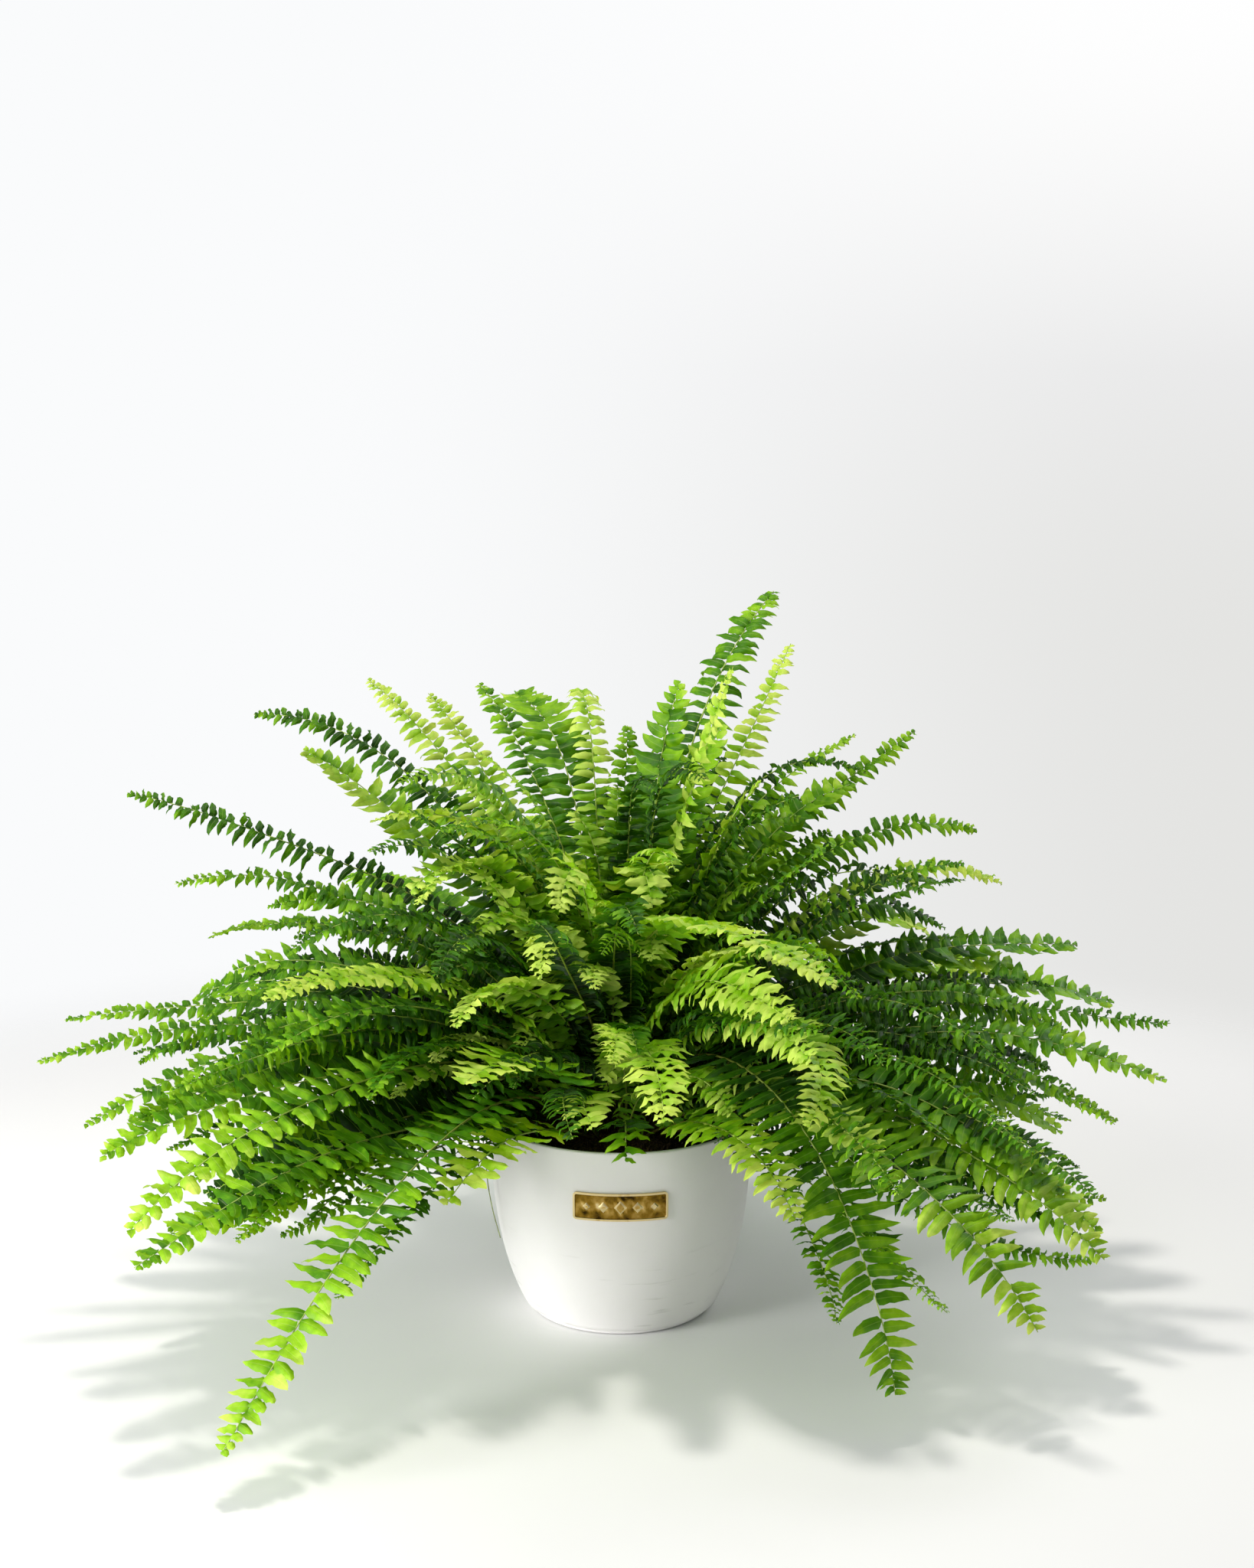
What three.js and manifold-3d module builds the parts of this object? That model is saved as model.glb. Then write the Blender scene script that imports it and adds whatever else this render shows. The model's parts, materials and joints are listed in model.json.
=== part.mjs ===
// A Boston fern growing in a nursery pot that stands inside a white cover pot.
//
// Millimetres, +Z up. The origin is the middle of the cover pot's underside. +X is to the right of the
// nameplate as you face it, and the nameplate faces -Y.
//
// Each frond is one leaf: a bare stalk, then a long blade that tapers to a point. Here the blade is a
// plain strip with a raised midrib, as long as the leaf and as wide as its leaflets are dense.
import * as THREE from "three";
import { mergeVertices } from "three/addons/utils/BufferGeometryUtils.js";
import Module from "manifold-3d";

const wasm = await Module();
wasm.setup();

// ---- driving dimensions ----

const FIT_GAP = 0.3; // between pieces that touch

const POT_HEIGHT = 137;
const POT_RIM_RADIUS = 90;
const POT_BASE_RADIUS = 64;
const POT_WALL = 3;
const POT_FLOOR = 4;
const POT_EDGE_RADIUS = 3; // the rounded edge under the pot

const LINER_CLEARANCE = 1.5; // between the liner's rim and the cover pot
const LINER_BELOW_RIM = 4; // the liner's rim sits this far below the cover pot's
const LINER_WALL = 1.4;
const LINER_LIP_WIDTH = 5;
const LINER_LIP_HEIGHT = 9;
const LINER_BASE_RADIUS = 54;
const DRAIN_HOLES = 6;
const DRAIN_HOLE_RADIUS = 5;
const DRAIN_CIRCLE_RADIUS = 36;

const SOIL_BELOW_LINER = 14;

const CROWN_RADIUS = 50;
const CROWN_HEIGHT = 15;
const CROWN_DEPTH = 6; // how far the crown is set into the soil

const STALK_RADIUS = 1.4;
const STALK_LENGTH = 52; // bare stalk below the first leaflets
const BLADE_HALF_WIDTH = 18;
const BLADE_RIB = 1.1; // half of the thickness along the midrib
const STALK_STIFFNESS = 1.15;
const TIP_STIFFNESS = 0.85;

const PLATE_WIDTH = 63;
const PLATE_HEIGHT = 19;
const PLATE_THICKNESS = 1.5;
const PLATE_CORNER = 2.5;
const PLATE_CENTRE_HEIGHT = 100;

const RUNNER_RADIUS = 0.6;

const POT_SEGMENTS = 40;
const LINER_SEGMENTS = 36;
const CROWN_SEGMENTS = 44;
const BLADE_STATIONS = 14;

// ---- materials ----

const material = (color, roughness, metalness = 0) =>
  new THREE.MeshStandardMaterial({ color, roughness, metalness });

const POT_WHITE = material("#e9e9e7", 0.55);
const LINER_GREEN = material("#1d3324", 0.6);
const SOIL_BLACK = material("#1a1410", 0.95);
const CROWN_BROWN = material("#4a3c22", 0.9);
const AGED_BRASS = material("#9a7428", 0.38, 1);
const RUNNER_GREEN = material("#9aa86a", 0.6);
const LEAF_LIGHT = material("#8fc31f", 0.5);
const LEAF_MID = material("#4f9a1c", 0.5);
const LEAF_DARK = material("#2c6a22", 0.5);

// ---- helpers ----

const part = new THREE.Group();

function add(name, geometry, finish) {
  const mesh = new THREE.Mesh(geometry, finish);
  mesh.name = name;
  part.add(mesh);
  return mesh;
}

// A turned piece. three.js turns a profile about Y, so it is stood up to turn about Z.
function turned(profile, segments) {
  const points = profile.map(([r, z]) => new THREE.Vector2(r, z));
  return new THREE.LatheGeometry(points, segments).rotateX(Math.PI / 2);
}

function toSolid(geometry) {
  const bare = geometry.clone();
  bare.deleteAttribute("normal");
  bare.deleteAttribute("uv");
  const merged = mergeVertices(bare, 1e-3);
  return new wasm.Manifold(
    new wasm.Mesh({
      numProp: 3,
      vertProperties: merged.attributes.position.array,
      triVerts: new Uint32Array(merged.index.array),
    }),
  );
}

function toGeometry(solid) {
  const mesh = solid.getMesh();
  return new THREE.BufferGeometry()
    .setAttribute("position", new THREE.BufferAttribute(mesh.vertProperties, 3))
    .setIndex(new THREE.BufferAttribute(mesh.triVerts, 1));
}

const radians = THREE.MathUtils.degToRad;
const mix = THREE.MathUtils.lerp;
const ease = (t) => THREE.MathUtils.smoothstep(t, 0, 1);

// ---- cover pot ----

// The outside radius at a height: a quarter of an oval that is nearly upright by the rim.
function potRadius(z) {
  const t = THREE.MathUtils.clamp(z / POT_HEIGHT, 0, 1);
  const bulge = (1 - (1 - t) ** 2.6) ** 0.86;
  return mix(POT_BASE_RADIUS, POT_RIM_RADIUS, bulge);
}

function potProfile() {
  const profile = [[0, 0]];
  for (let i = 0; i <= 3; i += 1) {
    const angle = (i / 3) * (Math.PI / 2);
    profile.push([
      POT_BASE_RADIUS - POT_EDGE_RADIUS * (1 - Math.sin(angle)),
      POT_EDGE_RADIUS * (1 - Math.cos(angle)),
    ]);
  }
  const heights = [0.06, 0.13, 0.22, 0.34, 0.48, 0.64, 0.82, 0.985];
  const outside = heights.map((share) => share * POT_HEIGHT);
  for (const z of outside) profile.push([potRadius(z), z]);
  profile.push([POT_RIM_RADIUS - 0.25 * POT_WALL, POT_HEIGHT]);
  profile.push([POT_RIM_RADIUS - 0.75 * POT_WALL, POT_HEIGHT]);
  for (const z of outside.reverse()) {
    if (z > POT_FLOOR + POT_EDGE_RADIUS) profile.push([potRadius(z) - POT_WALL, z]);
  }
  profile.push([potRadius(POT_FLOOR) - POT_WALL - POT_EDGE_RADIUS, POT_FLOOR]);
  profile.push([0, POT_FLOOR]);
  return profile;
}

add("cover_pot", turned(potProfile(), POT_SEGMENTS), POT_WHITE);

// ---- nursery liner ----

const LINER_BOTTOM = POT_FLOOR + FIT_GAP;
const LINER_TOP = POT_HEIGHT - LINER_BELOW_RIM;
const LINER_RIM_RADIUS = POT_RIM_RADIUS - POT_WALL - LINER_CLEARANCE;
const LINER_NECK_RADIUS = LINER_RIM_RADIUS - LINER_LIP_WIDTH;

// The liner's outside radius under its lip.
function linerRadius(z) {
  const t = (z - LINER_BOTTOM) / (LINER_TOP - LINER_BOTTOM);
  return mix(LINER_BASE_RADIUS, LINER_NECK_RADIUS, t);
}

function linerProfile() {
  const lipUnder = LINER_TOP - LINER_LIP_HEIGHT;
  return [
    [0, LINER_BOTTOM],
    [LINER_BASE_RADIUS, LINER_BOTTOM],
    [linerRadius(lipUnder), lipUnder],
    [LINER_RIM_RADIUS - 1, lipUnder],
    [LINER_RIM_RADIUS, lipUnder + 2],
    [LINER_RIM_RADIUS, LINER_TOP - 1],
    [LINER_RIM_RADIUS - 1, LINER_TOP],
    [LINER_NECK_RADIUS - LINER_WALL, LINER_TOP],
    [linerRadius(LINER_BOTTOM + LINER_WALL) - LINER_WALL, LINER_BOTTOM + LINER_WALL],
    [0, LINER_BOTTOM + LINER_WALL],
  ];
}

function liner() {
  let solid = toSolid(turned(linerProfile(), LINER_SEGMENTS));
  const drill = new THREE.CylinderGeometry(
    DRAIN_HOLE_RADIUS, DRAIN_HOLE_RADIUS, 6 * LINER_WALL, 10,
  ).rotateX(Math.PI / 2);
  for (let i = 0; i < DRAIN_HOLES; i += 1) {
    const angle = (i / DRAIN_HOLES) * 2 * Math.PI;
    const hole = drill.clone().translate(
      DRAIN_CIRCLE_RADIUS * Math.cos(angle),
      DRAIN_CIRCLE_RADIUS * Math.sin(angle),
      LINER_BOTTOM,
    );
    solid = solid.subtract(toSolid(hole));
  }
  return toGeometry(solid);
}

add("nursery_liner", liner(), LINER_GREEN);

// ---- soil and crown ----

const SOIL_BOTTOM = LINER_BOTTOM + LINER_WALL + FIT_GAP;
const SOIL_TOP = LINER_TOP - SOIL_BELOW_LINER;
const soilRadius = (z) => linerRadius(z) - LINER_WALL - FIT_GAP;

add(
  "potting_soil",
  turned(
    [
      [0, SOIL_BOTTOM],
      [soilRadius(SOIL_BOTTOM) - 1, SOIL_BOTTOM],
      [soilRadius(SOIL_TOP) - 1, SOIL_TOP - 3],
      [soilRadius(SOIL_TOP) - 4, SOIL_TOP],
      [CROWN_RADIUS + FIT_GAP, SOIL_TOP],
      [CROWN_RADIUS - CROWN_DEPTH + FIT_GAP, SOIL_TOP - CROWN_DEPTH - FIT_GAP],
      [0, SOIL_TOP - CROWN_DEPTH - FIT_GAP],
    ],
    LINER_SEGMENTS,
  ),
  SOIL_BLACK,
);

// The crown's top surface: a low dome.
function crownHeight(r) {
  return SOIL_TOP + CROWN_HEIGHT * (1 - (r / CROWN_RADIUS) ** 2);
}

function crownProfile() {
  const profile = [
    [0, SOIL_TOP - CROWN_DEPTH],
    [CROWN_RADIUS - CROWN_DEPTH, SOIL_TOP - CROWN_DEPTH],
  ];
  for (const share of [1, 0.88, 0.76, 0.64, 0.5, 0.36, 0.2, 0]) {
    profile.push([share * CROWN_RADIUS, crownHeight(share * CROWN_RADIUS)]);
  }
  return profile;
}

add("crown", turned(crownProfile(), CROWN_SEGMENTS), CROWN_BROWN);

// ---- nameplate ----

// A strip of brass bent to the pot: a flat block whose width is wrapped round the wall.
function nameplate() {
  const columns = 20;
  const block = new THREE.BoxGeometry(
    PLATE_WIDTH, PLATE_THICKNESS, PLATE_HEIGHT, columns, 1, 2,
  );
  const position = block.attributes.position;
  const vertex = new THREE.Vector3();
  for (let i = 0; i < position.count; i += 1) {
    vertex.fromBufferAttribute(position, i);
    const intoCorner = Math.max(0, Math.abs(vertex.x) - (PLATE_WIDTH / 2 - PLATE_CORNER));
    const cut = PLATE_CORNER - Math.sqrt(PLATE_CORNER ** 2 - intoCorner ** 2);
    const tall = 1 - (2 * cut) / PLATE_HEIGHT;
    const z = PLATE_CENTRE_HEIGHT + vertex.z * tall;
    const wall = potRadius(z) + FIT_GAP;
    const radius = wall + PLATE_THICKNESS / 2 - vertex.y;
    const angle = vertex.x / wall;
    position.setXYZ(i, radius * Math.sin(angle), -radius * Math.cos(angle), z);
  }
  return block;
}

add("nameplate", nameplate(), AGED_BRASS);

// ---- fronds ----

// Each row: name, heading in degrees (0 is +X, 90 is +Y, away from the nameplate), the stalk's rise
// from level in degrees, how far out the tip reaches, the tip's height above the cover pot's rim, the
// tip's pitch in degrees (below 0 it hangs), the sideways swing of the tip in degrees, and the blade's
// twist about its midrib in degrees. Steep leaves are twisted, and so pass one another like louvres.
const FRONDS = [
  // left, from the highest to the lowest
  ["frond_left_1", 164, 72, 269, 264, -8, 0, 30, LEAF_DARK],
  ["frond_left_2", 172, 71, 347, 210, 9, 0, 30, LEAF_DARK],
  ["frond_left_3", 180, 60, 303, 161, -12, 0, 0, LEAF_MID],
  ["frond_left_4", 193, 58, 243, 144, -8, 0, 0, LEAF_MID],
  ["frond_left_5", 185, 48, 374, 71, -12, 0, 0, LEAF_MID],
  ["frond_left_6", 191, 33, 389, 58, -20, 0, 0, LEAF_MID],
  ["frond_left_7", 200, 45, 363, 33, -28, 0, 0, LEAF_MID],
  ["frond_left_8", 205, 38, 357, 17, -26, 0, 0, LEAF_MID],
  ["frond_left_9", 215, 51, 363, -8, -34, 0, 0, LEAF_LIGHT],
  ["frond_left_10", 222, 27, 380, -11, -22, 0, 0, LEAF_MID],
  ["frond_left_11", 176, 36, 346, -16, -25, 0, 0, LEAF_MID],
  // front, from the left round to the right
  ["frond_front_1", 233, 46, 378, -104, -42, 0, 0, LEAF_LIGHT],
  ["frond_front_2", 240, 28, 210, 1, -36, 0, 0, LEAF_LIGHT],
  ["frond_front_3", 224, 62, 291, 133, -14, 0, 0, LEAF_LIGHT],
  ["frond_front_4", 240, 70, 203, 111, -30, 0, 30, LEAF_LIGHT],
  ["frond_front_5", 213, 82, 186, 224, -14, 0, 30, LEAF_LIGHT],
  ["frond_front_6", 224, 76, 176, 175, -46, 0, 30, LEAF_LIGHT],
  ["frond_front_7", 252, 75, 120, 167, -64, 0, -25, LEAF_LIGHT],
  ["frond_front_8", 272, 42, 116, 5, -60, 0, 0, LEAF_MID],
  ["frond_front_9", 277, 66, 221, 65, -32, 0, 0, LEAF_LIGHT],
  ["frond_front_10", 277, 88, 256, 147, -34, 23, -20, LEAF_LIGHT],
  ["frond_front_11", 294, 80, 242, 128, -12, 0, 30, LEAF_LIGHT],
  ["frond_front_12", 297, 32, 232, 0, -46, 0, 0, LEAF_LIGHT],
  ["frond_front_13", 302, 72, 218, 93, -26, 0, 30, LEAF_LIGHT],
  // right, from the front round to the back
  ["frond_right_1", 307, 66, 276, -106, -84, 0, 0, LEAF_MID],
  ["frond_right_2", 318, 48, 337, -64, -46, 0, 0, LEAF_LIGHT],
  ["frond_right_3", 323, 63, 258, 66, -40, -28, 0, LEAF_LIGHT],
  ["frond_right_4", 330, 43, 346, -40, -36, 0, 0, LEAF_LIGHT],
  ["frond_right_5", 335, 46, 314, -9, -30, 0, 0, LEAF_MID],
  ["frond_right_6", 346, 39, 366, 51, -21, 0, 0, LEAF_MID],
  ["frond_right_7", 347, 60, 230, 186, 8, 0, 0, LEAF_DARK],
  ["frond_right_8", 354, 54, 369, 76, 0, 0, 0, LEAF_DARK],
  ["frond_right_9", 2, 42, 346, -12, -30, 0, 0, LEAF_MID],
  ["frond_right_10", 8, 66, 265, 151, -30, 0, 0, LEAF_LIGHT],
  ["frond_right_11", 22, 51, 334, 55, -28, 0, 0, LEAF_LIGHT],
  ["frond_right_12", 15, 73, 260, 185, -18, 0, -30, LEAF_MID],
  ["frond_right_13", 30, 78, 244, 246, 24, 0, -30, LEAF_MID],
  // upright, in the middle
  ["frond_top_1", 151, 77, 208, 284, 26, 0, 30, LEAF_LIGHT],
  ["frond_top_2", 139, 80, 185, 273, 40, 0, 30, LEAF_LIGHT],
  ["frond_top_3", 127, 80, 173, 276, 22, 0, 30, LEAF_MID],
  ["frond_top_4", 114, 82, 150, 269, -24, -12, 30, LEAF_LIGHT],
  ["frond_top_5", 60, 83, 225, 342, 24, 0, -30, LEAF_DARK],
  ["frond_top_6", 320, 84, 96, 315, 62, 0, -30, LEAF_LIGHT],
  ["frond_top_7", 42, 80, 165, 310, 50, 0, -30, LEAF_LIGHT],
  ["frond_top_8", 88, 84, 92, 253, 30, 0, 20, LEAF_MID],
  // back
  ["frond_back_1", 38, 46, 342, 33, -28, 0, 0, LEAF_MID],
  ["frond_back_2", 51, 62, 300, 143, -10, 0, 0, LEAF_MID],
  ["frond_back_3", 64, 42, 350, -27, -34, 0, 0, LEAF_LIGHT],
  ["frond_back_4", 78, 60, 310, 113, -14, 0, 0, LEAF_DARK],
  ["frond_back_5", 92, 44, 352, 13, -30, 0, 0, LEAF_MID],
  ["frond_back_6", 105, 62, 290, 153, -10, 0, 0, LEAF_LIGHT],
  ["frond_back_7", 119, 42, 350, -27, -36, 0, 0, LEAF_MID],
  ["frond_back_8", 134, 60, 310, 113, -14, 0, 0, LEAF_MID],
  ["frond_back_9", 150, 44, 345, 23, -28, 0, 0, LEAF_DARK],
];

// Low fronds grow from the crown's edge and upright ones from its middle.
function stalkFoot(rise) {
  return 0.92 * CROWN_RADIUS * (1 - rise / 95) ** 0.7;
}

// The midrib's line in the upright plane of its heading, as a curve of (distance out, height).
function midrib(rise, reach, tipRise, tipPitch) {
  const foot = stalkFoot(rise);
  const out = new THREE.Vector2(Math.cos(radians(rise)), Math.sin(radians(rise)));
  // The stalk is cut square, so where it leans from the crown's normal its cut end is lifted clear.
  const normal = new THREE.Vector2((2 * CROWN_HEIGHT * foot) / CROWN_RADIUS ** 2, 1).normalize();
  const lift = FIT_GAP + STALK_RADIUS * Math.abs(normal.cross(out));
  const start = new THREE.Vector2(foot, crownHeight(foot)).addScaledVector(normal, lift);
  const end = new THREE.Vector2(reach, POT_HEIGHT + tipRise);
  const turn = radians(rise - tipPitch);
  // This handle makes an even arc. The stalk is stiffer than the tip, so its share of the arc is longer.
  const handle = start.distanceTo(end) / (3 * Math.cos(turn / 4) ** 2);
  const into = new THREE.Vector2(Math.cos(radians(tipPitch)), Math.sin(radians(tipPitch)));
  return new THREE.CubicBezierCurve(
    start,
    start.clone().addScaledVector(out, STALK_STIFFNESS * handle),
    end.clone().addScaledVector(into, -TIP_STIFFNESS * handle),
    end,
  );
}

// Half of the blade's width at a share of the leaf's length, with the bare stalk below it.
function halfWidth(share, bareShare) {
  if (share < bareShare) return STALK_RADIUS;
  const t = (share - bareShare) / (1 - bareShare);
  const shoulder = ease(Math.min(1, t / 0.3));
  const taper = Math.sqrt(Math.max(0, 1 - Math.max(0, (t - 0.5) / 0.5) ** 1.6));
  return Math.max(STALK_RADIUS, BLADE_HALF_WIDTH * mix(0.25, 1, shoulder) * taper);
}

function frond(heading, rise, reach, tipRise, tipPitch, swing, twist) {
  const line = midrib(rise, reach, tipRise, tipPitch);
  const length = line.getLength();
  const bareShare = STALK_LENGTH / length;
  const shares = [0, 0.5 * bareShare, bareShare];
  for (let i = 1; i < BLADE_STATIONS - 2; i += 1) {
    shares.push(mix(bareShare, 1, i / (BLADE_STATIONS - 2)));
  }
  const vertices = [];
  for (const share of shares) {
    const point = line.getPointAt(share);
    const along = line.getTangentAt(share);
    const angle = radians(heading + swing * share ** 2);
    const outward = new THREE.Vector3(Math.cos(angle), Math.sin(angle), 0);
    const up = outward.clone().multiplyScalar(-along.y).setZ(along.x);
    const forward = outward.clone().multiplyScalar(along.x).setZ(along.y);
    const side = up.clone().cross(forward).applyAxisAngle(forward, radians(twist));
    up.applyAxisAngle(forward, radians(twist));
    const centre = outward.multiplyScalar(point.x).setZ(point.y);
    const wide = halfWidth(share, bareShare);
    const thick = mix(STALK_RADIUS, BLADE_RIB, share);
    vertices.push(centre.clone().addScaledVector(side, wide));
    vertices.push(centre.clone().addScaledVector(up, thick));
    vertices.push(centre.clone().addScaledVector(side, -wide));
    vertices.push(centre.clone().addScaledVector(up, -thick));
  }
  const tipAngle = radians(heading + swing);
  const tip = new THREE.Vector3(Math.cos(tipAngle), Math.sin(tipAngle), 0).multiplyScalar(reach);
  vertices.push(tip.setZ(POT_HEIGHT + tipRise));
  const faces = [0, 2, 1, 0, 3, 2];
  const rings = shares.length;
  for (let ring = 0; ring < rings; ring += 1) {
    for (let corner = 0; corner < 4; corner += 1) {
      const a = 4 * ring + corner;
      const b = 4 * ring + ((corner + 1) % 4);
      if (ring < rings - 1) faces.push(a, b, b + 4, a, b + 4, a + 4);
      else faces.push(a, b, 4 * rings);
    }
  }
  return new THREE.BufferGeometry().setFromPoints(vertices).setIndex(faces);
}

for (const [name, ...shape] of FRONDS) {
  const finish = shape.pop();
  add(name, frond(...shape), finish);
}

// ---- runner ----

// A leafless runner that has grown out of the crown, over the rim and down the pot's side.
function runner() {
  const heading = radians(196);
  const clear = RUNNER_RADIUS + FIT_GAP;
  const overRim = POT_RIM_RADIUS + POT_WALL;
  const route = [
    [0.86 * CROWN_RADIUS, crownHeight(0.86 * CROWN_RADIUS) + clear + 0.2],
    [0.7 * POT_RIM_RADIUS, POT_HEIGHT - 4],
    [POT_RIM_RADIUS - POT_WALL, POT_HEIGHT + clear + 0.8],
    [overRim + 2, POT_HEIGHT - 2],
    [overRim + 4, 0.76 * POT_HEIGHT],
    [overRim + 1, 0.58 * POT_HEIGHT],
    [potRadius(0.42 * POT_HEIGHT) + 5 * clear, 0.42 * POT_HEIGHT],
  ];
  const points = route.map(
    ([r, z], i) =>
      new THREE.Vector3(
        r * Math.cos(heading + 0.02 * i), r * Math.sin(heading + 0.02 * i), z,
      ),
  );
  const section = new THREE.Shape();
  for (let i = 0; i < 6; i += 1) {
    const angle = (i / 6) * 2 * Math.PI;
    const corner = [RUNNER_RADIUS * Math.cos(angle), RUNNER_RADIUS * Math.sin(angle)];
    if (i === 0) section.moveTo(...corner);
    else section.lineTo(...corner);
  }
  return new THREE.ExtrudeGeometry(section, {
    steps: 18,
    curveSegments: 6,
    bevelEnabled: false,
    extrudePath: new THREE.CatmullRomCurve3(points),
  });
}

add("runner", runner(), RUNNER_GREEN);

export default part;
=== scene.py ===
"""A Boston fern in a nursery pot that stands inside a white cover pot.

Metres, +Z up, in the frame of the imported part. The nameplate faces -Y.
"""

import json
import math

import bmesh
import bpy
import numpy as np
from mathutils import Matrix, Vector

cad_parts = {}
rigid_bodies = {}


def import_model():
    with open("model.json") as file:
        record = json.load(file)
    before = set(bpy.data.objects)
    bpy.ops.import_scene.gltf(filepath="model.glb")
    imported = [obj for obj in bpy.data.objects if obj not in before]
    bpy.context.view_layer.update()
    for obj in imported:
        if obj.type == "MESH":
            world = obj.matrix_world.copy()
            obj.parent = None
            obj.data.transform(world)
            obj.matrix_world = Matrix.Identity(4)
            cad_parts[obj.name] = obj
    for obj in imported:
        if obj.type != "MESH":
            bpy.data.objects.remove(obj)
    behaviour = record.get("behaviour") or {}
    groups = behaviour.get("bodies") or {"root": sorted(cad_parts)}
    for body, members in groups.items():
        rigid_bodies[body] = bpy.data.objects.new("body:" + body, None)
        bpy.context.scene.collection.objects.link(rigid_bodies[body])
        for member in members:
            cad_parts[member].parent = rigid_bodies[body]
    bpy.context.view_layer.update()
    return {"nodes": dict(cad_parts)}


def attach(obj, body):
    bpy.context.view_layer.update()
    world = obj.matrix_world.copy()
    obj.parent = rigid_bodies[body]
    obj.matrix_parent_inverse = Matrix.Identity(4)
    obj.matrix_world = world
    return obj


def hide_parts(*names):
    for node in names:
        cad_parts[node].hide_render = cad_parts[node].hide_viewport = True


for leftover in list(bpy.data.objects):
    bpy.data.objects.remove(leftover)

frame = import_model()
scene = bpy.context.scene

# ---------------------------------------------------------------------------
# Camera, floor and lights
# A studio product view: the camera stands 1.5 m off, a little above the plant,
# and looks down by 10 degrees. The floor is a pale sheet under soft lamps.
# ---------------------------------------------------------------------------

MM = 0.001
SENSOR_WIDTH = 36
LENS = 52.734
CAMERA_PLACE = (0.0043, -1.52, 0.639)
LOOKS_DOWN = math.radians(10.2)

camera = bpy.data.objects.new("camera", bpy.data.cameras.new("camera"))
camera.data.sensor_width = SENSOR_WIDTH
camera.data.lens = LENS
camera.data.clip_start = 50 * MM
camera.location = CAMERA_PLACE
camera.rotation_euler = (math.pi / 2 - LOOKS_DOWN, 0, 0)
scene.collection.objects.link(camera)
scene.camera = camera
scene.view_settings.view_transform = "Standard"


def linear(hex_colour):
    """An sRGB hex colour as linear RGBA."""
    parts = [int(hex_colour[i : i + 2], 16) / 255 for i in (1, 3, 5)]
    return [
        p / 12.92 if p <= 0.04045 else ((p + 0.055) / 1.055) ** 2.4 for p in parts
    ] + [1]


def add_node(tree, kind, inputs=(), stops=(), **settings):
    """Adds a node. inputs pairs a socket with a value or with another node's output, and
    stops are a colour ramp's (place, hex colour) pairs."""
    made = tree.nodes.new(kind)
    for name, value in settings.items():
        setattr(made, name, value)
    for _ in stops[2:]:
        made.color_ramp.elements.new(1)
    for i, (place, colour) in enumerate(stops):
        made.color_ramp.elements[i].position = place
        made.color_ramp.elements[i].color = linear(colour)
    for key, value in dict(inputs).items():
        if isinstance(value, bpy.types.NodeSocket):
            tree.links.new(value, made.inputs[key])
        else:
            made.inputs[key].default_value = value
    return made


def new_material(name):
    """An empty node material and its tree."""
    material = bpy.data.materials.new(name)
    material.use_nodes = True
    material.node_tree.nodes.clear()
    return material, material.node_tree


def new_piece(name, bm, *materials):
    """Turns a bmesh into an object at the origin."""
    mesh = bpy.data.meshes.new(name)
    bm.to_mesh(mesh)
    bm.free()
    for material in materials:
        mesh.materials.append(material)
    piece = bpy.data.objects.new(name, mesh)
    scene.collection.objects.link(piece)
    return piece


FLOOR_RADIUS = 1400 * MM
FLOOR_FADES = (620 * MM, 1050 * MM)
FLOOR_BELOW = 0.6 * MM

# Matt white background paper. It fades out into the pale room far from the plant.
paper, tree = new_material("white_backdrop_paper")
at = add_node(tree, "ShaderNodeTexCoord").outputs["Object"]
far = add_node(tree, "ShaderNodeVectorMath", {0: at}, operation="LENGTH").outputs["Value"]
fade = add_node(
    tree,
    "ShaderNodeMapRange",
    {"Value": far, "From Min": FLOOR_FADES[0], "From Max": FLOOR_FADES[1]},
    interpolation_type="SMOOTHSTEP",
).outputs["Result"]
grain = add_node(
    tree, "ShaderNodeTexNoise", {"Vector": at, "Scale": 1 / (333 * MM), "Detail": 2}
)
tint = add_node(
    tree,
    "ShaderNodeValToRGB",
    {0: grain.outputs["Fac"]},
    stops=[(0.3, "#f6f6f5"), (0.7, "#f9f9f8")],
).outputs[0]
sheet = add_node(tree, "ShaderNodeBsdfDiffuse", {"Color": tint})
clear = add_node(tree, "ShaderNodeBsdfTransparent")
mixed = add_node(
    tree,
    "ShaderNodeMixShader",
    {0: fade, 1: sheet.outputs[0], 2: clear.outputs[0]},
)
add_node(tree, "ShaderNodeOutputMaterial", {"Surface": mixed.outputs[0]})

bm = bmesh.new()
bmesh.ops.create_circle(bm, cap_ends=True, segments=96, radius=FLOOR_RADIUS)
bmesh.ops.translate(bm, vec=(0, 0, -FLOOR_BELOW), verts=bm.verts)
floor = new_piece("floor", bm, paper)

# The room: what the camera sees behind the plant is a white wall with painted shade, greyer
# at the right and greyest low down there, and what lights the plant is an even, slightly
# cool glow.
ROOM_GLOW = 0.29

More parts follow.
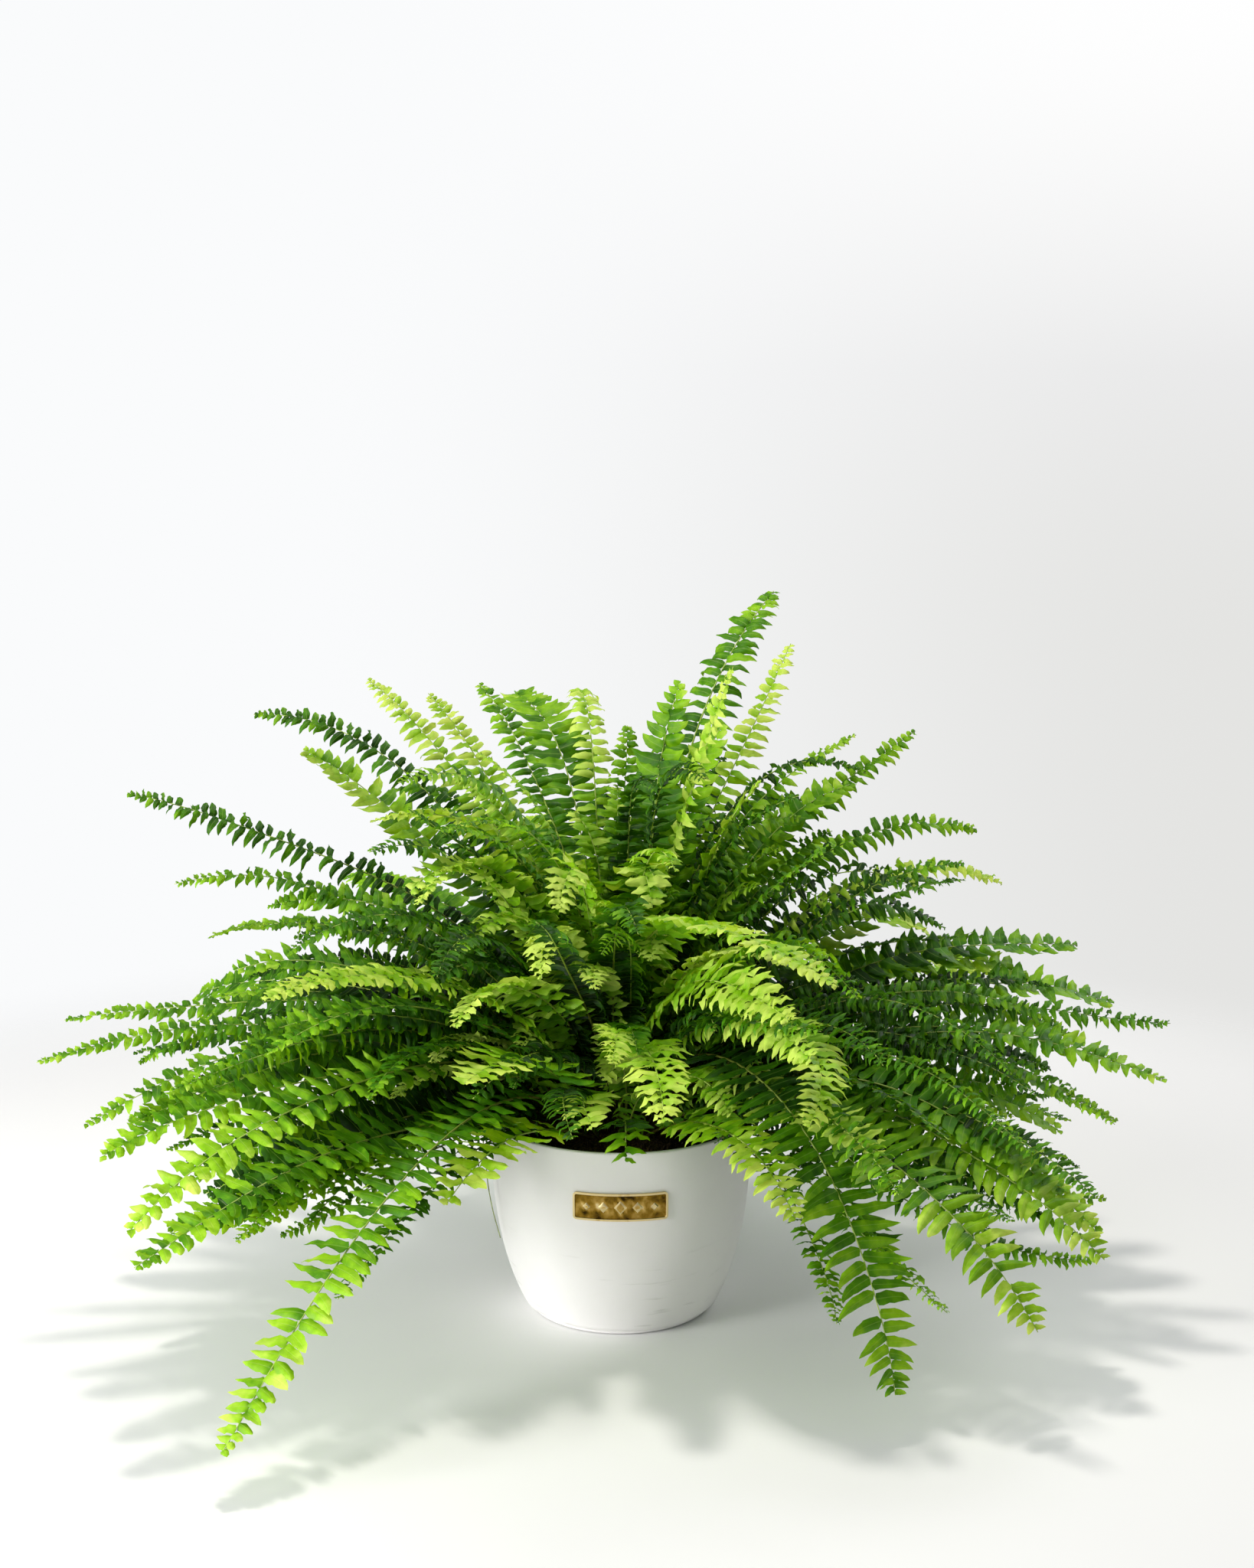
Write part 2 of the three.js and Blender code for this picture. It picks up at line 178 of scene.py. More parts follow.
world = bpy.data.worlds.new("studio")
scene.world = world
world.use_nodes = True
tree = world.node_tree
tree.nodes.clear()
seen = add_node(tree, "ShaderNodeLightPath").outputs["Is Camera Ray"]
around = add_node(tree, "ShaderNodeTexCoord").outputs["Generated"]
around = add_node(tree, "ShaderNodeSeparateXYZ", {0: around}).outputs
across = add_node(
    tree,
    "ShaderNodeMapRange",
    {"Value": around["X"], "From Min": -0.15, "From Max": 0.27},
    interpolation_type="SMOOTHSTEP",
).outputs["Result"]
upward = add_node(
    tree,
    "ShaderNodeMapRange",
    {"Value": around["Z"], "From Min": -0.12, "From Max": 0.16},
    interpolation_type="SMOOTHSTEP",
).outputs["Result"]
# Painted shade on the wall: grey towards the floor on the right side.
painted_wall_shade = add_node(
    tree,
    "ShaderNodeValToRGB",
    {0: upward},
    stops=[(0, "#e4e4e2"), (0.4, "#eaeaea"), (1, "#ffffff")],
).outputs[0]
wall = add_node(
    tree,
    "ShaderNodeMix",
    {"Factor": across, 6: linear("#fafbfc"), 7: painted_wall_shade},
    data_type="RGBA",
).outputs[2]
shown = add_node(tree, "ShaderNodeBackground", {"Color": wall})
lit = add_node(
    tree, "ShaderNodeBackground", {"Color": linear("#f6f9ff"), "Strength": ROOM_GLOW}
)
both = add_node(
    tree, "ShaderNodeMixShader", {0: seen, 1: lit.outputs[0], 2: shown.outputs[0]}
)
add_node(tree, "ShaderNodeOutputWorld", {"Surface": both.outputs[0]})


def add_lamp(name, place, aim, size, watts, colour="#ffffff"):
    """A square soft box of that size at place, turned to aim."""
    lamp = bpy.data.lights.new(name, "AREA")
    lamp.shape = "SQUARE"
    lamp.size = size
    lamp.energy = watts
    lamp.color = linear(colour)[:3]
    made = bpy.data.objects.new(name, lamp)
    made.location = place
    turn = (Vector(aim) - Vector(place)).to_track_quat("-Z", "Y")
    made.rotation_euler = turn.to_euler()
    scene.collection.objects.link(made)


add_lamp("key_overhead", (-0.15, -0.1, 1.75), (0, 0, 0.2), 0.16, 12.3, "#fffaf2")
add_lamp("fill_left", (-1.9, -1.2, 1.0), (0, 0, 0.15), 0.9, 26)
add_lamp("low_left", (-1.1, -0.75, 0.3), (0, 0, 0.08), 0.5, 12)
add_lamp("rim_right", (0.9, 1.0, 1.2), (0, 0, 0.3), 0.8, 10)

# ---------------------------------------------------------------------------
# Cover pot
# A decorative outer pot with no drain hole, moulded in one piece in matt white
# resin. The wall bellies out from a narrow foot and is nearly upright at the rim.
# ---------------------------------------------------------------------------

POT_HEIGHT = 137 * MM
POT_RIM_RADIUS = 90 * MM
POT_BASE_RADIUS = 64 * MM
POT_WALL = 3 * MM
POT_FLOOR = 4 * MM
POT_EDGE_RADIUS = 3 * MM
POT_BELLY = 2.6
POT_FLARE = 0.86
WALL_RINGS = 28
TURN_STEPS = 144


def pot_radius(z):
    """The outside radius at a height."""
    t = min(max(z / POT_HEIGHT, 0), 1)
    bulge = (1 - (1 - t) ** POT_BELLY) ** POT_FLARE
    return POT_BASE_RADIUS + (POT_RIM_RADIUS - POT_BASE_RADIUS) * bulge


def turned(profile, steps=TURN_STEPS, sharp=40):
    """A bmesh of the (radius, height) profile spun about Z, smooth where it isn't sharp."""
    bm = bmesh.new()
    dots = [bm.verts.new((r, 0, z)) for r, z in profile]
    line = [bm.edges.new(pair) for pair in zip(dots, dots[1:])]
    bmesh.ops.spin(
        bm,
        geom=dots + line,
        cent=(0, 0, 0),
        axis=(0, 0, 1),
        angle=math.tau,
        steps=steps,
        use_merge=True,
    )
    bmesh.ops.remove_doubles(bm, verts=bm.verts, dist=1e-6)
    bmesh.ops.recalc_face_normals(bm, faces=bm.faces)
    for face in bm.faces:
        face.smooth = True
    for edge in bm.edges:
        edge.smooth = edge.calc_face_angle(0) < math.radians(sharp)
    return bm


def arc(middle, radius, start, end, count=6):
    """Points on an arc between two angles in degrees, for a profile's rounded edges."""
    turns = [math.radians(start + (end - start) * i / count) for i in range(count + 1)]
    return [
        (middle[0] + radius * math.cos(a), middle[1] + radius * math.sin(a))
        for a in turns
    ]


foot = (POT_BASE_RADIUS - POT_EDGE_RADIUS, POT_EDGE_RADIUS)
rim = (POT_RIM_RADIUS - POT_WALL / 2, POT_HEIGHT - POT_WALL / 2)
heights = [
    POT_HEIGHT * (0.035 + 0.95 * (i / WALL_RINGS) ** 1.25) for i in range(WALL_RINGS + 1)
]
inside = [z for z in heights if z > POT_FLOOR + POT_EDGE_RADIUS]
pot_profile = (
    [(0, 0)]
    + arc(foot, POT_EDGE_RADIUS, -90, -8)
    + [(pot_radius(z), z) for z in heights[:-1]]
    + arc(rim, POT_WALL / 2, 0, 180, 8)
    + [(pot_radius(z) - POT_WALL, z) for z in reversed(inside[:-1])]
    + [(pot_radius(POT_FLOOR) - POT_WALL - POT_EDGE_RADIUS, POT_FLOOR), (0, POT_FLOOR)]
)

# Matt moulded resin, IOR about 1.5: even white in faint clouds 71 mm across, with a 2.4 mm
# orange-peel from the mould, drawn coarser than it is so that it shows, and a few rubbed
# marks near the foot where pots stand against each other.
resin, tree = new_material("matt_white_moulded_resin")
at = add_node(tree, "ShaderNodeTexCoord").outputs["Object"]
clouds = add_node(
    tree, "ShaderNodeTexNoise", {"Vector": at, "Scale": 1 / (71.4 * MM), "Detail": 5}
)
tint = add_node(
    tree,
    "ShaderNodeValToRGB",
    {0: clouds.outputs["Fac"]},
    stops=[(0.3, "#f2efee"), (0.7, "#f8f5f4")],
).outputs[0]
long_way = add_node(
    tree,
    "ShaderNodeMapping",
    {"Vector": at, "Rotation": (0, 0.5, 0.3), "Scale": (3, 3, 26)},
).outputs[0]
scratch = add_node(
    tree, "ShaderNodeTexNoise", {"Vector": long_way, "Scale": 1 / (111 * MM), "Detail": 8}
)
marks = add_node(
    tree,
    "ShaderNodeValToRGB",
    {0: scratch.outputs["Fac"]},
    stops=[(0.62, "#000000"), (0.75, "#ffffff")],
).outputs[0]
height = add_node(tree, "ShaderNodeSeparateXYZ", {0: at}).outputs["Z"]
low = add_node(
    tree,
    "ShaderNodeMapRange",
    {"Value": height, "From Min": 90 * MM, "From Max": 0, "To Max": 0.6},
).outputs["Result"]
rubbed = add_node(
    tree, "ShaderNodeMath", {0: marks, 1: low}, operation="MULTIPLY"
).outputs[0]
shade = add_node(
    tree,
    "ShaderNodeMix",
    {"Factor": rubbed, 6: tint, 7: linear("#b9b8ae")},
    data_type="RGBA",
).outputs[2]
peel = add_node(
    tree, "ShaderNodeTexNoise", {"Vector": at, "Scale": 1 / (2.38 * MM), "Detail": 3}
)
dents = add_node(
    tree,
    "ShaderNodeBump",
    {"Height": peel.outputs["Fac"], "Strength": 0.12, "Distance": 0.4 * MM},
).outputs[0]
rough = add_node(
    tree,
    "ShaderNodeMapRange",
    {"Value": clouds.outputs["Fac"], "To Min": 0.42, "To Max": 0.6},
).outputs["Result"]
shader = add_node(
    tree,
    "ShaderNodeBsdfPrincipled",
    {"Base Color": shade, "Roughness": rough, "Normal": dents, "IOR": 1.5},
)
add_node(tree, "ShaderNodeOutputMaterial", {"Surface": shader.outputs[0]})

pot = new_piece("white_cover_pot", turned(pot_profile), resin)
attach(pot, "root")
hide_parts("cover_pot")

# ---------------------------------------------------------------------------
# Nameplate
# A strip of stamped brass with a raised border, bent to the pot and glued on. It
# carries a plain row of five lozenges. The brass has dulled, darkest in its corners.
# ---------------------------------------------------------------------------

PLATE_WIDTH = 63 * MM
PLATE_HEIGHT = 19 * MM
PLATE_THICKNESS = 1.5 * MM
PLATE_CORNER = 2.5 * MM
PLATE_CENTRE = 100 * MM
PLATE_GAP = 0.3 * MM
PLATE_BORDER = 1.3 * MM
PLATE_BORDER_SLOPE = 0.3 * MM
PLATE_SUNK = 0.55 * MM
PLATE_COLUMNS = 26
PLATE_ROWS = 4
LOZENGE_SPACING = 11.2 * MM

bm = bmesh.new()
bmesh.ops.create_grid(bm, x_segments=1, y_segments=1, size=0.5)
bmesh.ops.scale(bm, vec=(PLATE_WIDTH, PLATE_HEIGHT, 1), verts=bm.verts)
bmesh.ops.bevel(
    bm,
    geom=list(bm.verts),
    offset=PLATE_CORNER,
    segments=6,
    profile=0.5,
    affect="VERTICES",
    material=-1,
)
raised = bmesh.ops.extrude_face_region(bm, geom=list(bm.faces))["geom"]
top = [g for g in raised if isinstance(g, bmesh.types.BMFace)]
bmesh.ops.translate(
    bm,
    vec=(0, 0, PLATE_THICKNESS),
    verts=[g for g in raised if isinstance(g, bmesh.types.BMVert)],
)
bmesh.ops.inset_region(bm, faces=top, thickness=PLATE_BORDER, use_even_offset=True)
bmesh.ops.inset_region(
    bm, faces=top, thickness=PLATE_BORDER_SLOPE, depth=-PLATE_SUNK, use_even_offset=True
)
bmesh.ops.recalc_face_normals(bm, faces=bm.faces)

# The lozenges, stamped up from the sunk panel: a large one in the middle and
# smaller ones to either side.
for i in range(-2, 3):
    wide = (8.4 - 1.5 * abs(i)) * MM
    tall = (9.6 - 2.0 * abs(i)) * MM
    stud = bmesh.ops.create_cone(
        bm, cap_ends=True, segments=4, radius1=1, radius2=0.62, depth=1
    )["verts"]
    bmesh.ops.scale(bm, vec=(wide / 2, tall / 2, 0.9 * PLATE_SUNK), verts=stud)
    bmesh.ops.translate(
        bm, vec=(i * LOZENGE_SPACING, 0, PLATE_THICKNESS - 0.55 * PLATE_SUNK), verts=stud
    )

# Cuts across and along, so that the plate bends evenly, and then the bend.
cuts = [
    ((PLATE_WIDTH * (i / PLATE_COLUMNS - 0.5), 0, 0), (1, 0, 0))
    for i in range(1, PLATE_COLUMNS)
]
cuts += [
    ((0, PLATE_HEIGHT * (i / PLATE_ROWS - 0.5), 0), (0, 1, 0)) for i in range(1, PLATE_ROWS)
]
for cut_place, cut_facing in cuts:
    bmesh.ops.bisect_plane(
        bm,
        geom=bm.verts[:] + bm.edges[:] + bm.faces[:],
        dist=1e-7,
        plane_co=cut_place,
        plane_no=cut_facing,
    )
for dot in bm.verts:
    x, y, out = dot.co
    wall_radius = pot_radius(PLATE_CENTRE + y) + PLATE_GAP
    turn = x / wall_radius
    away = wall_radius + out
    dot.co = (away * math.sin(turn), -away * math.cos(turn), PLATE_CENTRE + y)
for face in bm.faces:
    face.smooth = True
for edge in bm.edges:
    edge.smooth = edge.calc_face_angle(0) < math.radians(30)

# Aged brass, stamped and brushed lengthwise: yellow where it is rubbed, brown in the
# corners, in blotches 6 mm across. The brush lines are 0.4 mm apart.
brass, tree = new_material("aged_stamped_brass")
at = add_node(tree, "ShaderNodeTexCoord").outputs["Object"]
blotch = add_node(
    tree, "ShaderNodeTexNoise", {"Vector": at, "Scale": 1 / (6.25 * MM), "Detail": 6}
)
edge_worn = add_node(tree, "ShaderNodeNewGeometry").outputs["Pointiness"]
worn = add_node(
    tree,
    "ShaderNodeMapRange",
    {"Value": edge_worn, "From Min": 0.46, "From Max": 0.56},
).outputs["Result"]
age = add_node(
    tree,
    "ShaderNodeMath",
    {0: worn, 1: 0.6, 2: blotch.outputs["Fac"]},
    operation="MULTIPLY_ADD",
).outputs[0]
tint = add_node(
    tree,
    "ShaderNodeValToRGB",
    {0: age},
    stops=[(0.42, "#30220a"), (0.63, "#8a6a22"), (0.87, "#c2a055"), (1, "#e2cc98")],
).outputs[0]
streaks = add_node(
    tree, "ShaderNodeMapping", {"Vector": at, "Scale": (0.04, 0.04, 1)}
).outputs[0]
brush = add_node(
    tree, "ShaderNodeTexNoise", {"Vector": streaks, "Scale": 1 / (0.385 * MM), "Detail": 2}
)
lines = add_node(
    tree,
    "ShaderNodeBump",
    {"Height": brush.outputs["Fac"], "Strength": 0.25, "Distance": 0.1 * MM},
).outputs[0]
rough = add_node(
    tree,
    "ShaderNodeMapRange",
    {"Value": blotch.outputs["Fac"], "To Min": 0.28, "To Max": 0.55},
).outputs["Result"]
shader = add_node(
    tree,
    "ShaderNodeBsdfPrincipled",
    {"Base Color": tint, "Roughness": rough, "Normal": lines, "Metallic": 1.0},
)
add_node(tree, "ShaderNodeOutputMaterial", {"Surface": shader.outputs[0]})

plate = new_piece("brass_nameplate", bm, brass)
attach(plate, "root")
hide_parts("nameplate")

# ---------------------------------------------------------------------------
# Nursery liner
# The thin green grow pot that the fern was raised in, vacuum-formed in polypropylene with
# a rolled lip. It drops into the cover pot and is lifted out by its lip.
# ---------------------------------------------------------------------------

LINER_BOTTOM = POT_FLOOR + 0.3 * MM
LINER_TOP = POT_HEIGHT - 4 * MM
LINER_WALL = 1.4 * MM
LINER_BASE_RADIUS = 54 * MM
LINER_RIM_RADIUS = 85.5 * MM
LINER_NECK_RADIUS = 80.5 * MM
LINER_LIP_HEIGHT = 9 * MM
LIP_ROUND = 1.6 * MM


def liner_radius(z):
    """The liner's outside radius under its lip."""
    t = (z - LINER_BOTTOM) / (LINER_TOP - LINER_BOTTOM)
    return LINER_BASE_RADIUS + (LINER_NECK_RADIUS - LINER_BASE_RADIUS) * t


lip_under = LINER_TOP - LINER_LIP_HEIGHT
liner_profile = (
    [(0, LINER_BOTTOM), (LINER_BASE_RADIUS - MM, LINER_BOTTOM)]
    + [(LINER_BASE_RADIUS, LINER_BOTTOM + MM), (liner_radius(lip_under), lip_under)]
    + [(LINER_RIM_RADIUS - MM, lip_under), (LINER_RIM_RADIUS, lip_under + MM)]
    + arc((LINER_RIM_RADIUS - LIP_ROUND, LINER_TOP - LIP_ROUND), LIP_ROUND, 0, 90)
    + arc(
        (LINER_NECK_RADIUS - LINER_WALL + LIP_ROUND, LINER_TOP - LIP_ROUND),
        LIP_ROUND,
        90,
        180,
    )
    + [
        (liner_radius(z) - LINER_WALL, z)
        for z in (0.75 * LINER_TOP, 0.4 * LINER_TOP, LINER_BOTTOM + LINER_WALL)
    ]
    + [(0, LINER_BOTTOM + LINER_WALL)]
)

# Dark green polypropylene, thin and vacuum-formed: a waxy sheen under smears of peat dust
# 11 mm across.
plastic, tree = new_material("green_polypropylene_film")
at = add_node(tree, "ShaderNodeTexCoord").outputs["Object"]
dust = add_node(
    tree, "ShaderNodeTexNoise", {"Vector": at, "Scale": 1 / (11.1 * MM), "Detail": 6}
).outputs["Fac"]
tint = add_node(
    tree,
    "ShaderNodeValToRGB",
    {0: dust},
    stops=[(0.35, "#0d1c12"), (0.6, "#1d3324"), (0.8, "#3a4030")],
).outputs[0]
rough = add_node(
    tree,
    "ShaderNodeMapRange",
    {"Value": dust, "From Min": 0.3, "From Max": 0.7, "To Min": 0.32, "To Max": 0.7},
).outputs["Result"]
shader = add_node(
    tree, "ShaderNodeBsdfPrincipled", {"Base Color": tint, "Roughness": rough, "IOR": 1.49}
)
add_node(tree, "ShaderNodeOutputMaterial", {"Surface": shader.outputs[0]})

liner = new_piece("green_nursery_liner", turned(liner_profile), plastic)
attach(liner, "root")
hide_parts("nursery_liner")

# ---------------------------------------------------------------------------
# Potting soil
# A peat and bark mix that has settled in the liner, with crumbs and the odd grain of white
# perlite lying on it. It holds the crown and hides the roots.
# ---------------------------------------------------------------------------

SOIL_BOTTOM = LINER_BOTTOM + LINER_WALL + 0.3 * MM
SOIL_TOP = LINER_TOP - 14 * MM
SOIL_CLEAR = LINER_WALL + 0.3 * MM
SOIL_EDGE = 4 * MM
CRUMB_COUNT = 420
CRUMB_SIZES = (0.6, 2.2)
CROWN_RADIUS = 50 * MM
CROWN_HEIGHT = 15 * MM

rng = np.random.default_rng(11)


def crown_height(r):
    """The height of the crown's domed top at a distance from the pot's axis."""
    return SOIL_TOP + CROWN_HEIGHT * (1 - (r / CROWN_RADIUS) ** 2)


edge_radius = liner_radius(SOIL_TOP) - SOIL_CLEAR
soil_profile = [
    (0, SOIL_BOTTOM),
    (liner_radius(SOIL_BOTTOM) - SOIL_CLEAR - MM, SOIL_BOTTOM),
    (edge_radius - MM, SOIL_TOP - 3 * MM),
    (edge_radius - SOIL_EDGE, SOIL_TOP),
    *[(edge_radius - SOIL_EDGE - i * 3 * MM, SOIL_TOP - 0.5 * MM) for i in range(1, 9)],
    (0.8 * CROWN_RADIUS, SOIL_TOP - 6 * MM),
    (0, SOIL_TOP - 6 * MM),
]
bm = turned(soil_profile, 96)
for dot in bm.verts:
    if dot.co.z > SOIL_TOP - 4 * MM and dot.co.xy.length < edge_radius - 2 * MM:
        dot.co.z += rng.uniform(-1.2, 0.4) * MM
for i in range(CRUMB_COUNT):
    turn = rng.uniform(0, math.tau)
    r = math.sqrt(rng.uniform(0.52**2, 1)) * (edge_radius - 3 * MM)
    size = rng.uniform(*CRUMB_SIZES) * MM
    crumb = bmesh.ops.create_icosphere(bm, subdivisions=1, radius=size)["verts"]
    bmesh.ops.scale(bm, vec=rng.uniform(0.6, 1.3, 3), verts=crumb)
    bmesh.ops.translate(
        bm,
        vec=(r * math.cos(turn), r * math.sin(turn), SOIL_TOP + 0.2 * size),
        verts=crumb,
    )

# Peat and composted bark: black-brown and quite rough, in 2 mm crumbs. One in fifty of
# them is a pale grain of perlite.
peat, tree = new_material("peat_and_bark_mix")
at = add_node(tree, "ShaderNodeTexCoord").outputs["Object"]
crumbs = add_node(tree, "ShaderNodeTexVoronoi", {"Vector": at, "Scale": 1 / (2 * MM)})
grey = add_node(tree, "ShaderNodeSeparateColor", {0: crumbs.outputs["Color"]}).outputs[0]
SOIL_COLOURS = [
    (0, "#0d0906"),
    (0.5, "#1c140d"),
    (0.88, "#3a2a1c"),
    (0.97, "#4a3a2a"),
    (0.98, "#b8b2a4"),
]
tint = add_node(tree, "ShaderNodeValToRGB", {0: grey}, stops=SOIL_COLOURS).outputs[0]
lumps = add_node(
    tree,
    "ShaderNodeBump",
    {"Height": crumbs.outputs["Distance"], "Strength": 0.8, "Distance": 1.2 * MM},
).outputs[0]
shader = add_node(
    tree,
    "ShaderNodeBsdfPrincipled",
    {"Base Color": tint, "Roughness": 0.92, "Normal": lumps},
)
add_node(tree, "ShaderNodeOutputMaterial", {"Surface": shader.outputs[0]})

soil = new_piece("settled_potting_mix", bm, peat)
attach(soil, "root")
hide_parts("potting_soil")

# ---------------------------------------------------------------------------
# Crown
# The fern's rootstock: a low woody dome of old stalk bases and brown scales, half sunk
# in the soil. Every frond grows out of it.
# ---------------------------------------------------------------------------

STUB_COUNT = 150
STUB_HEIGHTS = (2.5, 9)
STUBS_LEAN_FROM = 60 * MM

shares = [1, 0.94, 0.88, 0.82, 0.76, 0.7, 0.64, 0.57, 0.5, 0.43, 0.36, 0.28, 0.2, 0.1, 0]
crown_profile = [(0, SOIL_TOP - 5.6 * MM), (0.88 * CROWN_RADIUS, SOIL_TOP - 5.6 * MM)] + [
    (s * CROWN_RADIUS, crown_height(s * CROWN_RADIUS)) for s in shares
]
bm = turned(crown_profile, 72)
for dot in bm.verts:
    if dot.co.z > SOIL_TOP - 2 * MM:
        dot.co.z -= rng.uniform(0, 1.6) * MM
for i in range(STUB_COUNT):
    turn = rng.uniform(0, math.tau)
    r = 0.96 * CROWN_RADIUS * math.sqrt(rng.uniform(0, 1))
    tall = rng.uniform(*STUB_HEIGHTS) * MM
    stub = bmesh.ops.create_cone(
        bm,
        cap_ends=True,
        segments=6,
        radius1=rng.uniform(1.1, 2.0) * MM,
        radius2=rng.uniform(0.2, 0.9) * MM,
        depth=tall,
    )["verts"]
    bmesh.ops.translate(bm, vec=(0, 0, tall * 0.35), verts=stub)
    lean = Vector((math.cos(turn) * r, math.sin(turn) * r, STUBS_LEAN_FROM))
    spin = Vector((0, 0, 1)).rotation_difference(lean.normalized()).to_matrix()
    bmesh.ops.rotate(bm, cent=(0, 0, 0), matrix=spin, verts=stub)
    bmesh.ops.translate(
        bm,
        vec=(r * math.cos(turn), r * math.sin(turn), crown_height(r) - 0.8 * MM),
        verts=stub,
    )

# Dead stalk bases and papery scales: fibrous, dull and brown, with upright fibres 1.4 mm
# apart. Real ones are finer and wouldn't show.
scales, tree = new_material("fibrous_fern_rootstock")
at = add_node(tree, "ShaderNodeTexCoord").outputs["Object"]
upright = add_node(
    tree, "ShaderNodeMapping", {"Vector": at, "Scale": (1, 1, 0.3)}
).outputs[0]
fibre = add_node(
    tree, "ShaderNodeTexNoise", {"Vector": upright, "Scale": 1 / (1.43 * MM), "Detail": 4}
).outputs["Fac"]
tint = add_node(
    tree,
    "ShaderNodeValToRGB",
    {0: fibre},
    stops=[(0.3, "#1f150b"), (0.5, "#46341d"), (0.68, "#6d5430"), (0.8, "#8d7448")],
).outputs[0]
hairs = add_node(
    tree, "ShaderNodeBump", {"Height": fibre, "Strength": 0.9, "Distance": 1 * MM}
).outputs[0]
shader = add_node(
    tree,
    "ShaderNodeBsdfPrincipled",
    {"Base Color": tint, "Roughness": 0.88, "Normal": hairs},
)
add_node(tree, "ShaderNodeOutputMaterial", {"Surface": shader.outputs[0]})

rootstock = new_piece("scaly_crown", bm, scales)
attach(rootstock, "root")
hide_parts("crown")

# ---------------------------------------------------------------------------
# Runner
# A wiry leafless stem that the fern sends out to root elsewhere. It has found its way
# over the rim and hangs free down the pot's left side.
# ---------------------------------------------------------------------------

RUNNER_RADIUS = 0.6 * MM
RUNNER_HEADING = math.radians(196)
RUNNER_BEND = 0.02
RUNNER_POINTS = 90


def tube_mesh(name, sides, rings):
    """A closed tube of radius 1 from z 0 to 1, smooth, for bending along a line."""
    bm = bmesh.new()
    bm.loops.layers.uv.new("leaf")
    bmesh.ops.create_cone(
        bm,
        cap_ends=True,
        segments=sides,
        radius1=1,
        radius2=1,
        depth=1,
        calc_uvs=True,
    )
    bmesh.ops.translate(bm, vec=(0, 0, 0.5), verts=bm.verts)
    long_edges = [e for e in bm.edges if abs(e.verts[0].co.z - e.verts[1].co.z) > 0.5]
    bmesh.ops.subdivide_edges(bm, edges=long_edges, cuts=rings - 1, use_grid_fill=True)
    for face in bm.faces:
        face.smooth = True
    mesh = bpy.data.meshes.new(name)
    bm.to_mesh(mesh)
    bm.free()
    return mesh


def places(mesh):
    """A mesh's vertices as an array."""
    found = np.empty(len(mesh.vertices) * 3)
    mesh.vertices.foreach_get("co", found)
    return found.reshape(-1, 3)


def unit(v):
    """Vectors at length 1."""
    return v / np.maximum(np.linalg.norm(v, axis=-1, keepdims=True), 1e-12)


def curve_through(points, count):
    """A smooth line through points, as count points evenly far apart."""
    points = np.asarray(points, float)
    reached = np.r_[0, np.cumsum(np.linalg.norm(np.diff(points, axis=0), axis=1))]
    slope = np.gradient(points, reached, axis=0)
    at = np.linspace(0, reached[-1], count)
    i = np.clip(np.searchsorted(reached, at, side="right") - 1, 0, len(points) - 2)
    step = (reached[i + 1] - reached[i])[:, None]
    t = (at[:, None] - reached[i][:, None]) / step
    return (
        (1 + 2 * t) * (1 - t) ** 2 * points[i]
        + t * (1 - t) ** 2 * step * slope[i]
        + t**2 * (3 - 2 * t) * points[i + 1]
        + t**2 * (t - 1) * step * slope[i + 1]
    )


def bent_tube(template, line, side, up, radius):
    """The tube's vertices laid along a line, with the radius at each share of it."""
    z = template[:, 2]
    along = np.linspace(0, 1, len(line))

    def read(values):
        return np.stack([np.interp(z, along, v) for v in values.T], 1)

    r = radius(z)[:, None]
    return read(line) + r * (template[:, :1] * read(side) + template[:, 1:2] * read(up))


clear = 0.9 * MM
over_rim = POT_RIM_RADIUS + POT_WALL
route = [
    (0.86 * CROWN_RADIUS, crown_height(0.86 * CROWN_RADIUS) + clear + 0.2 * MM),
    (0.7 * POT_RIM_RADIUS, POT_HEIGHT - 4 * MM),
    (POT_RIM_RADIUS - POT_WALL, POT_HEIGHT + clear + 0.8 * MM),
    (over_rim + 2 * MM, POT_HEIGHT - 2 * MM),
    (over_rim + 4 * MM, 0.76 * POT_HEIGHT),
    (over_rim + 1 * MM, 0.58 * POT_HEIGHT),
    (pot_radius(0.42 * POT_HEIGHT) + 5 * clear, 0.42 * POT_HEIGHT),
]
turns = [RUNNER_HEADING + RUNNER_BEND * i for i in range(len(route))]
line = curve_through(
    [(r * math.cos(turn), r * math.sin(turn), z) for turn, (r, z) in zip(turns, route)],
    RUNNER_POINTS,
)
forward = unit(np.gradient(line, axis=0))
side = np.tile([-math.sin(RUNNER_HEADING), math.cos(RUNNER_HEADING), 0], (len(line), 1))
side = unit(side - (side * forward).sum(1, keepdims=True) * forward)
template = tube_mesh("runner_tube", 10, RUNNER_POINTS)
bm = bmesh.new()
bm.from_mesh(template)
runner_places = bent_tube(
    places(template),
    line,
    side,
    np.cross(forward, side),
    lambda z: RUNNER_RADIUS * (1 - 0.45 * z) * (1 + 0.06 * np.sin(80 * z)),
)

# A living stem: smooth and pale green. Its brown hairs show only as a duller tint, in
# patches 4 mm long.
stem, tree = new_material("wiry_green_runner")
at = add_node(tree, "ShaderNodeTexCoord").outputs["Object"]
fuzz = add_node(
    tree, "ShaderNodeTexNoise", {"Vector": at, "Scale": 1 / (3.85 * MM), "Detail": 3}
).outputs["Fac"]
tint = add_node(
    tree,
    "ShaderNodeValToRGB",
    {0: fuzz},
    stops=[(0.35, "#7d8450"), (0.6, "#a3ad74"), (0.8, "#c3c99c")],
).outputs[0]
shader = add_node(tree, "ShaderNodeBsdfPrincipled", {"Base Color": tint, "Roughness": 0.6})
add_node(tree, "ShaderNodeOutputMaterial", {"Surface": shader.outputs[0]})

runner = new_piece("wiry_runner", bm, stem)
runner.data.vertices.foreach_set("co", runner_places.ravel())
runner.data.update()
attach(runner, "root")
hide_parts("runner")

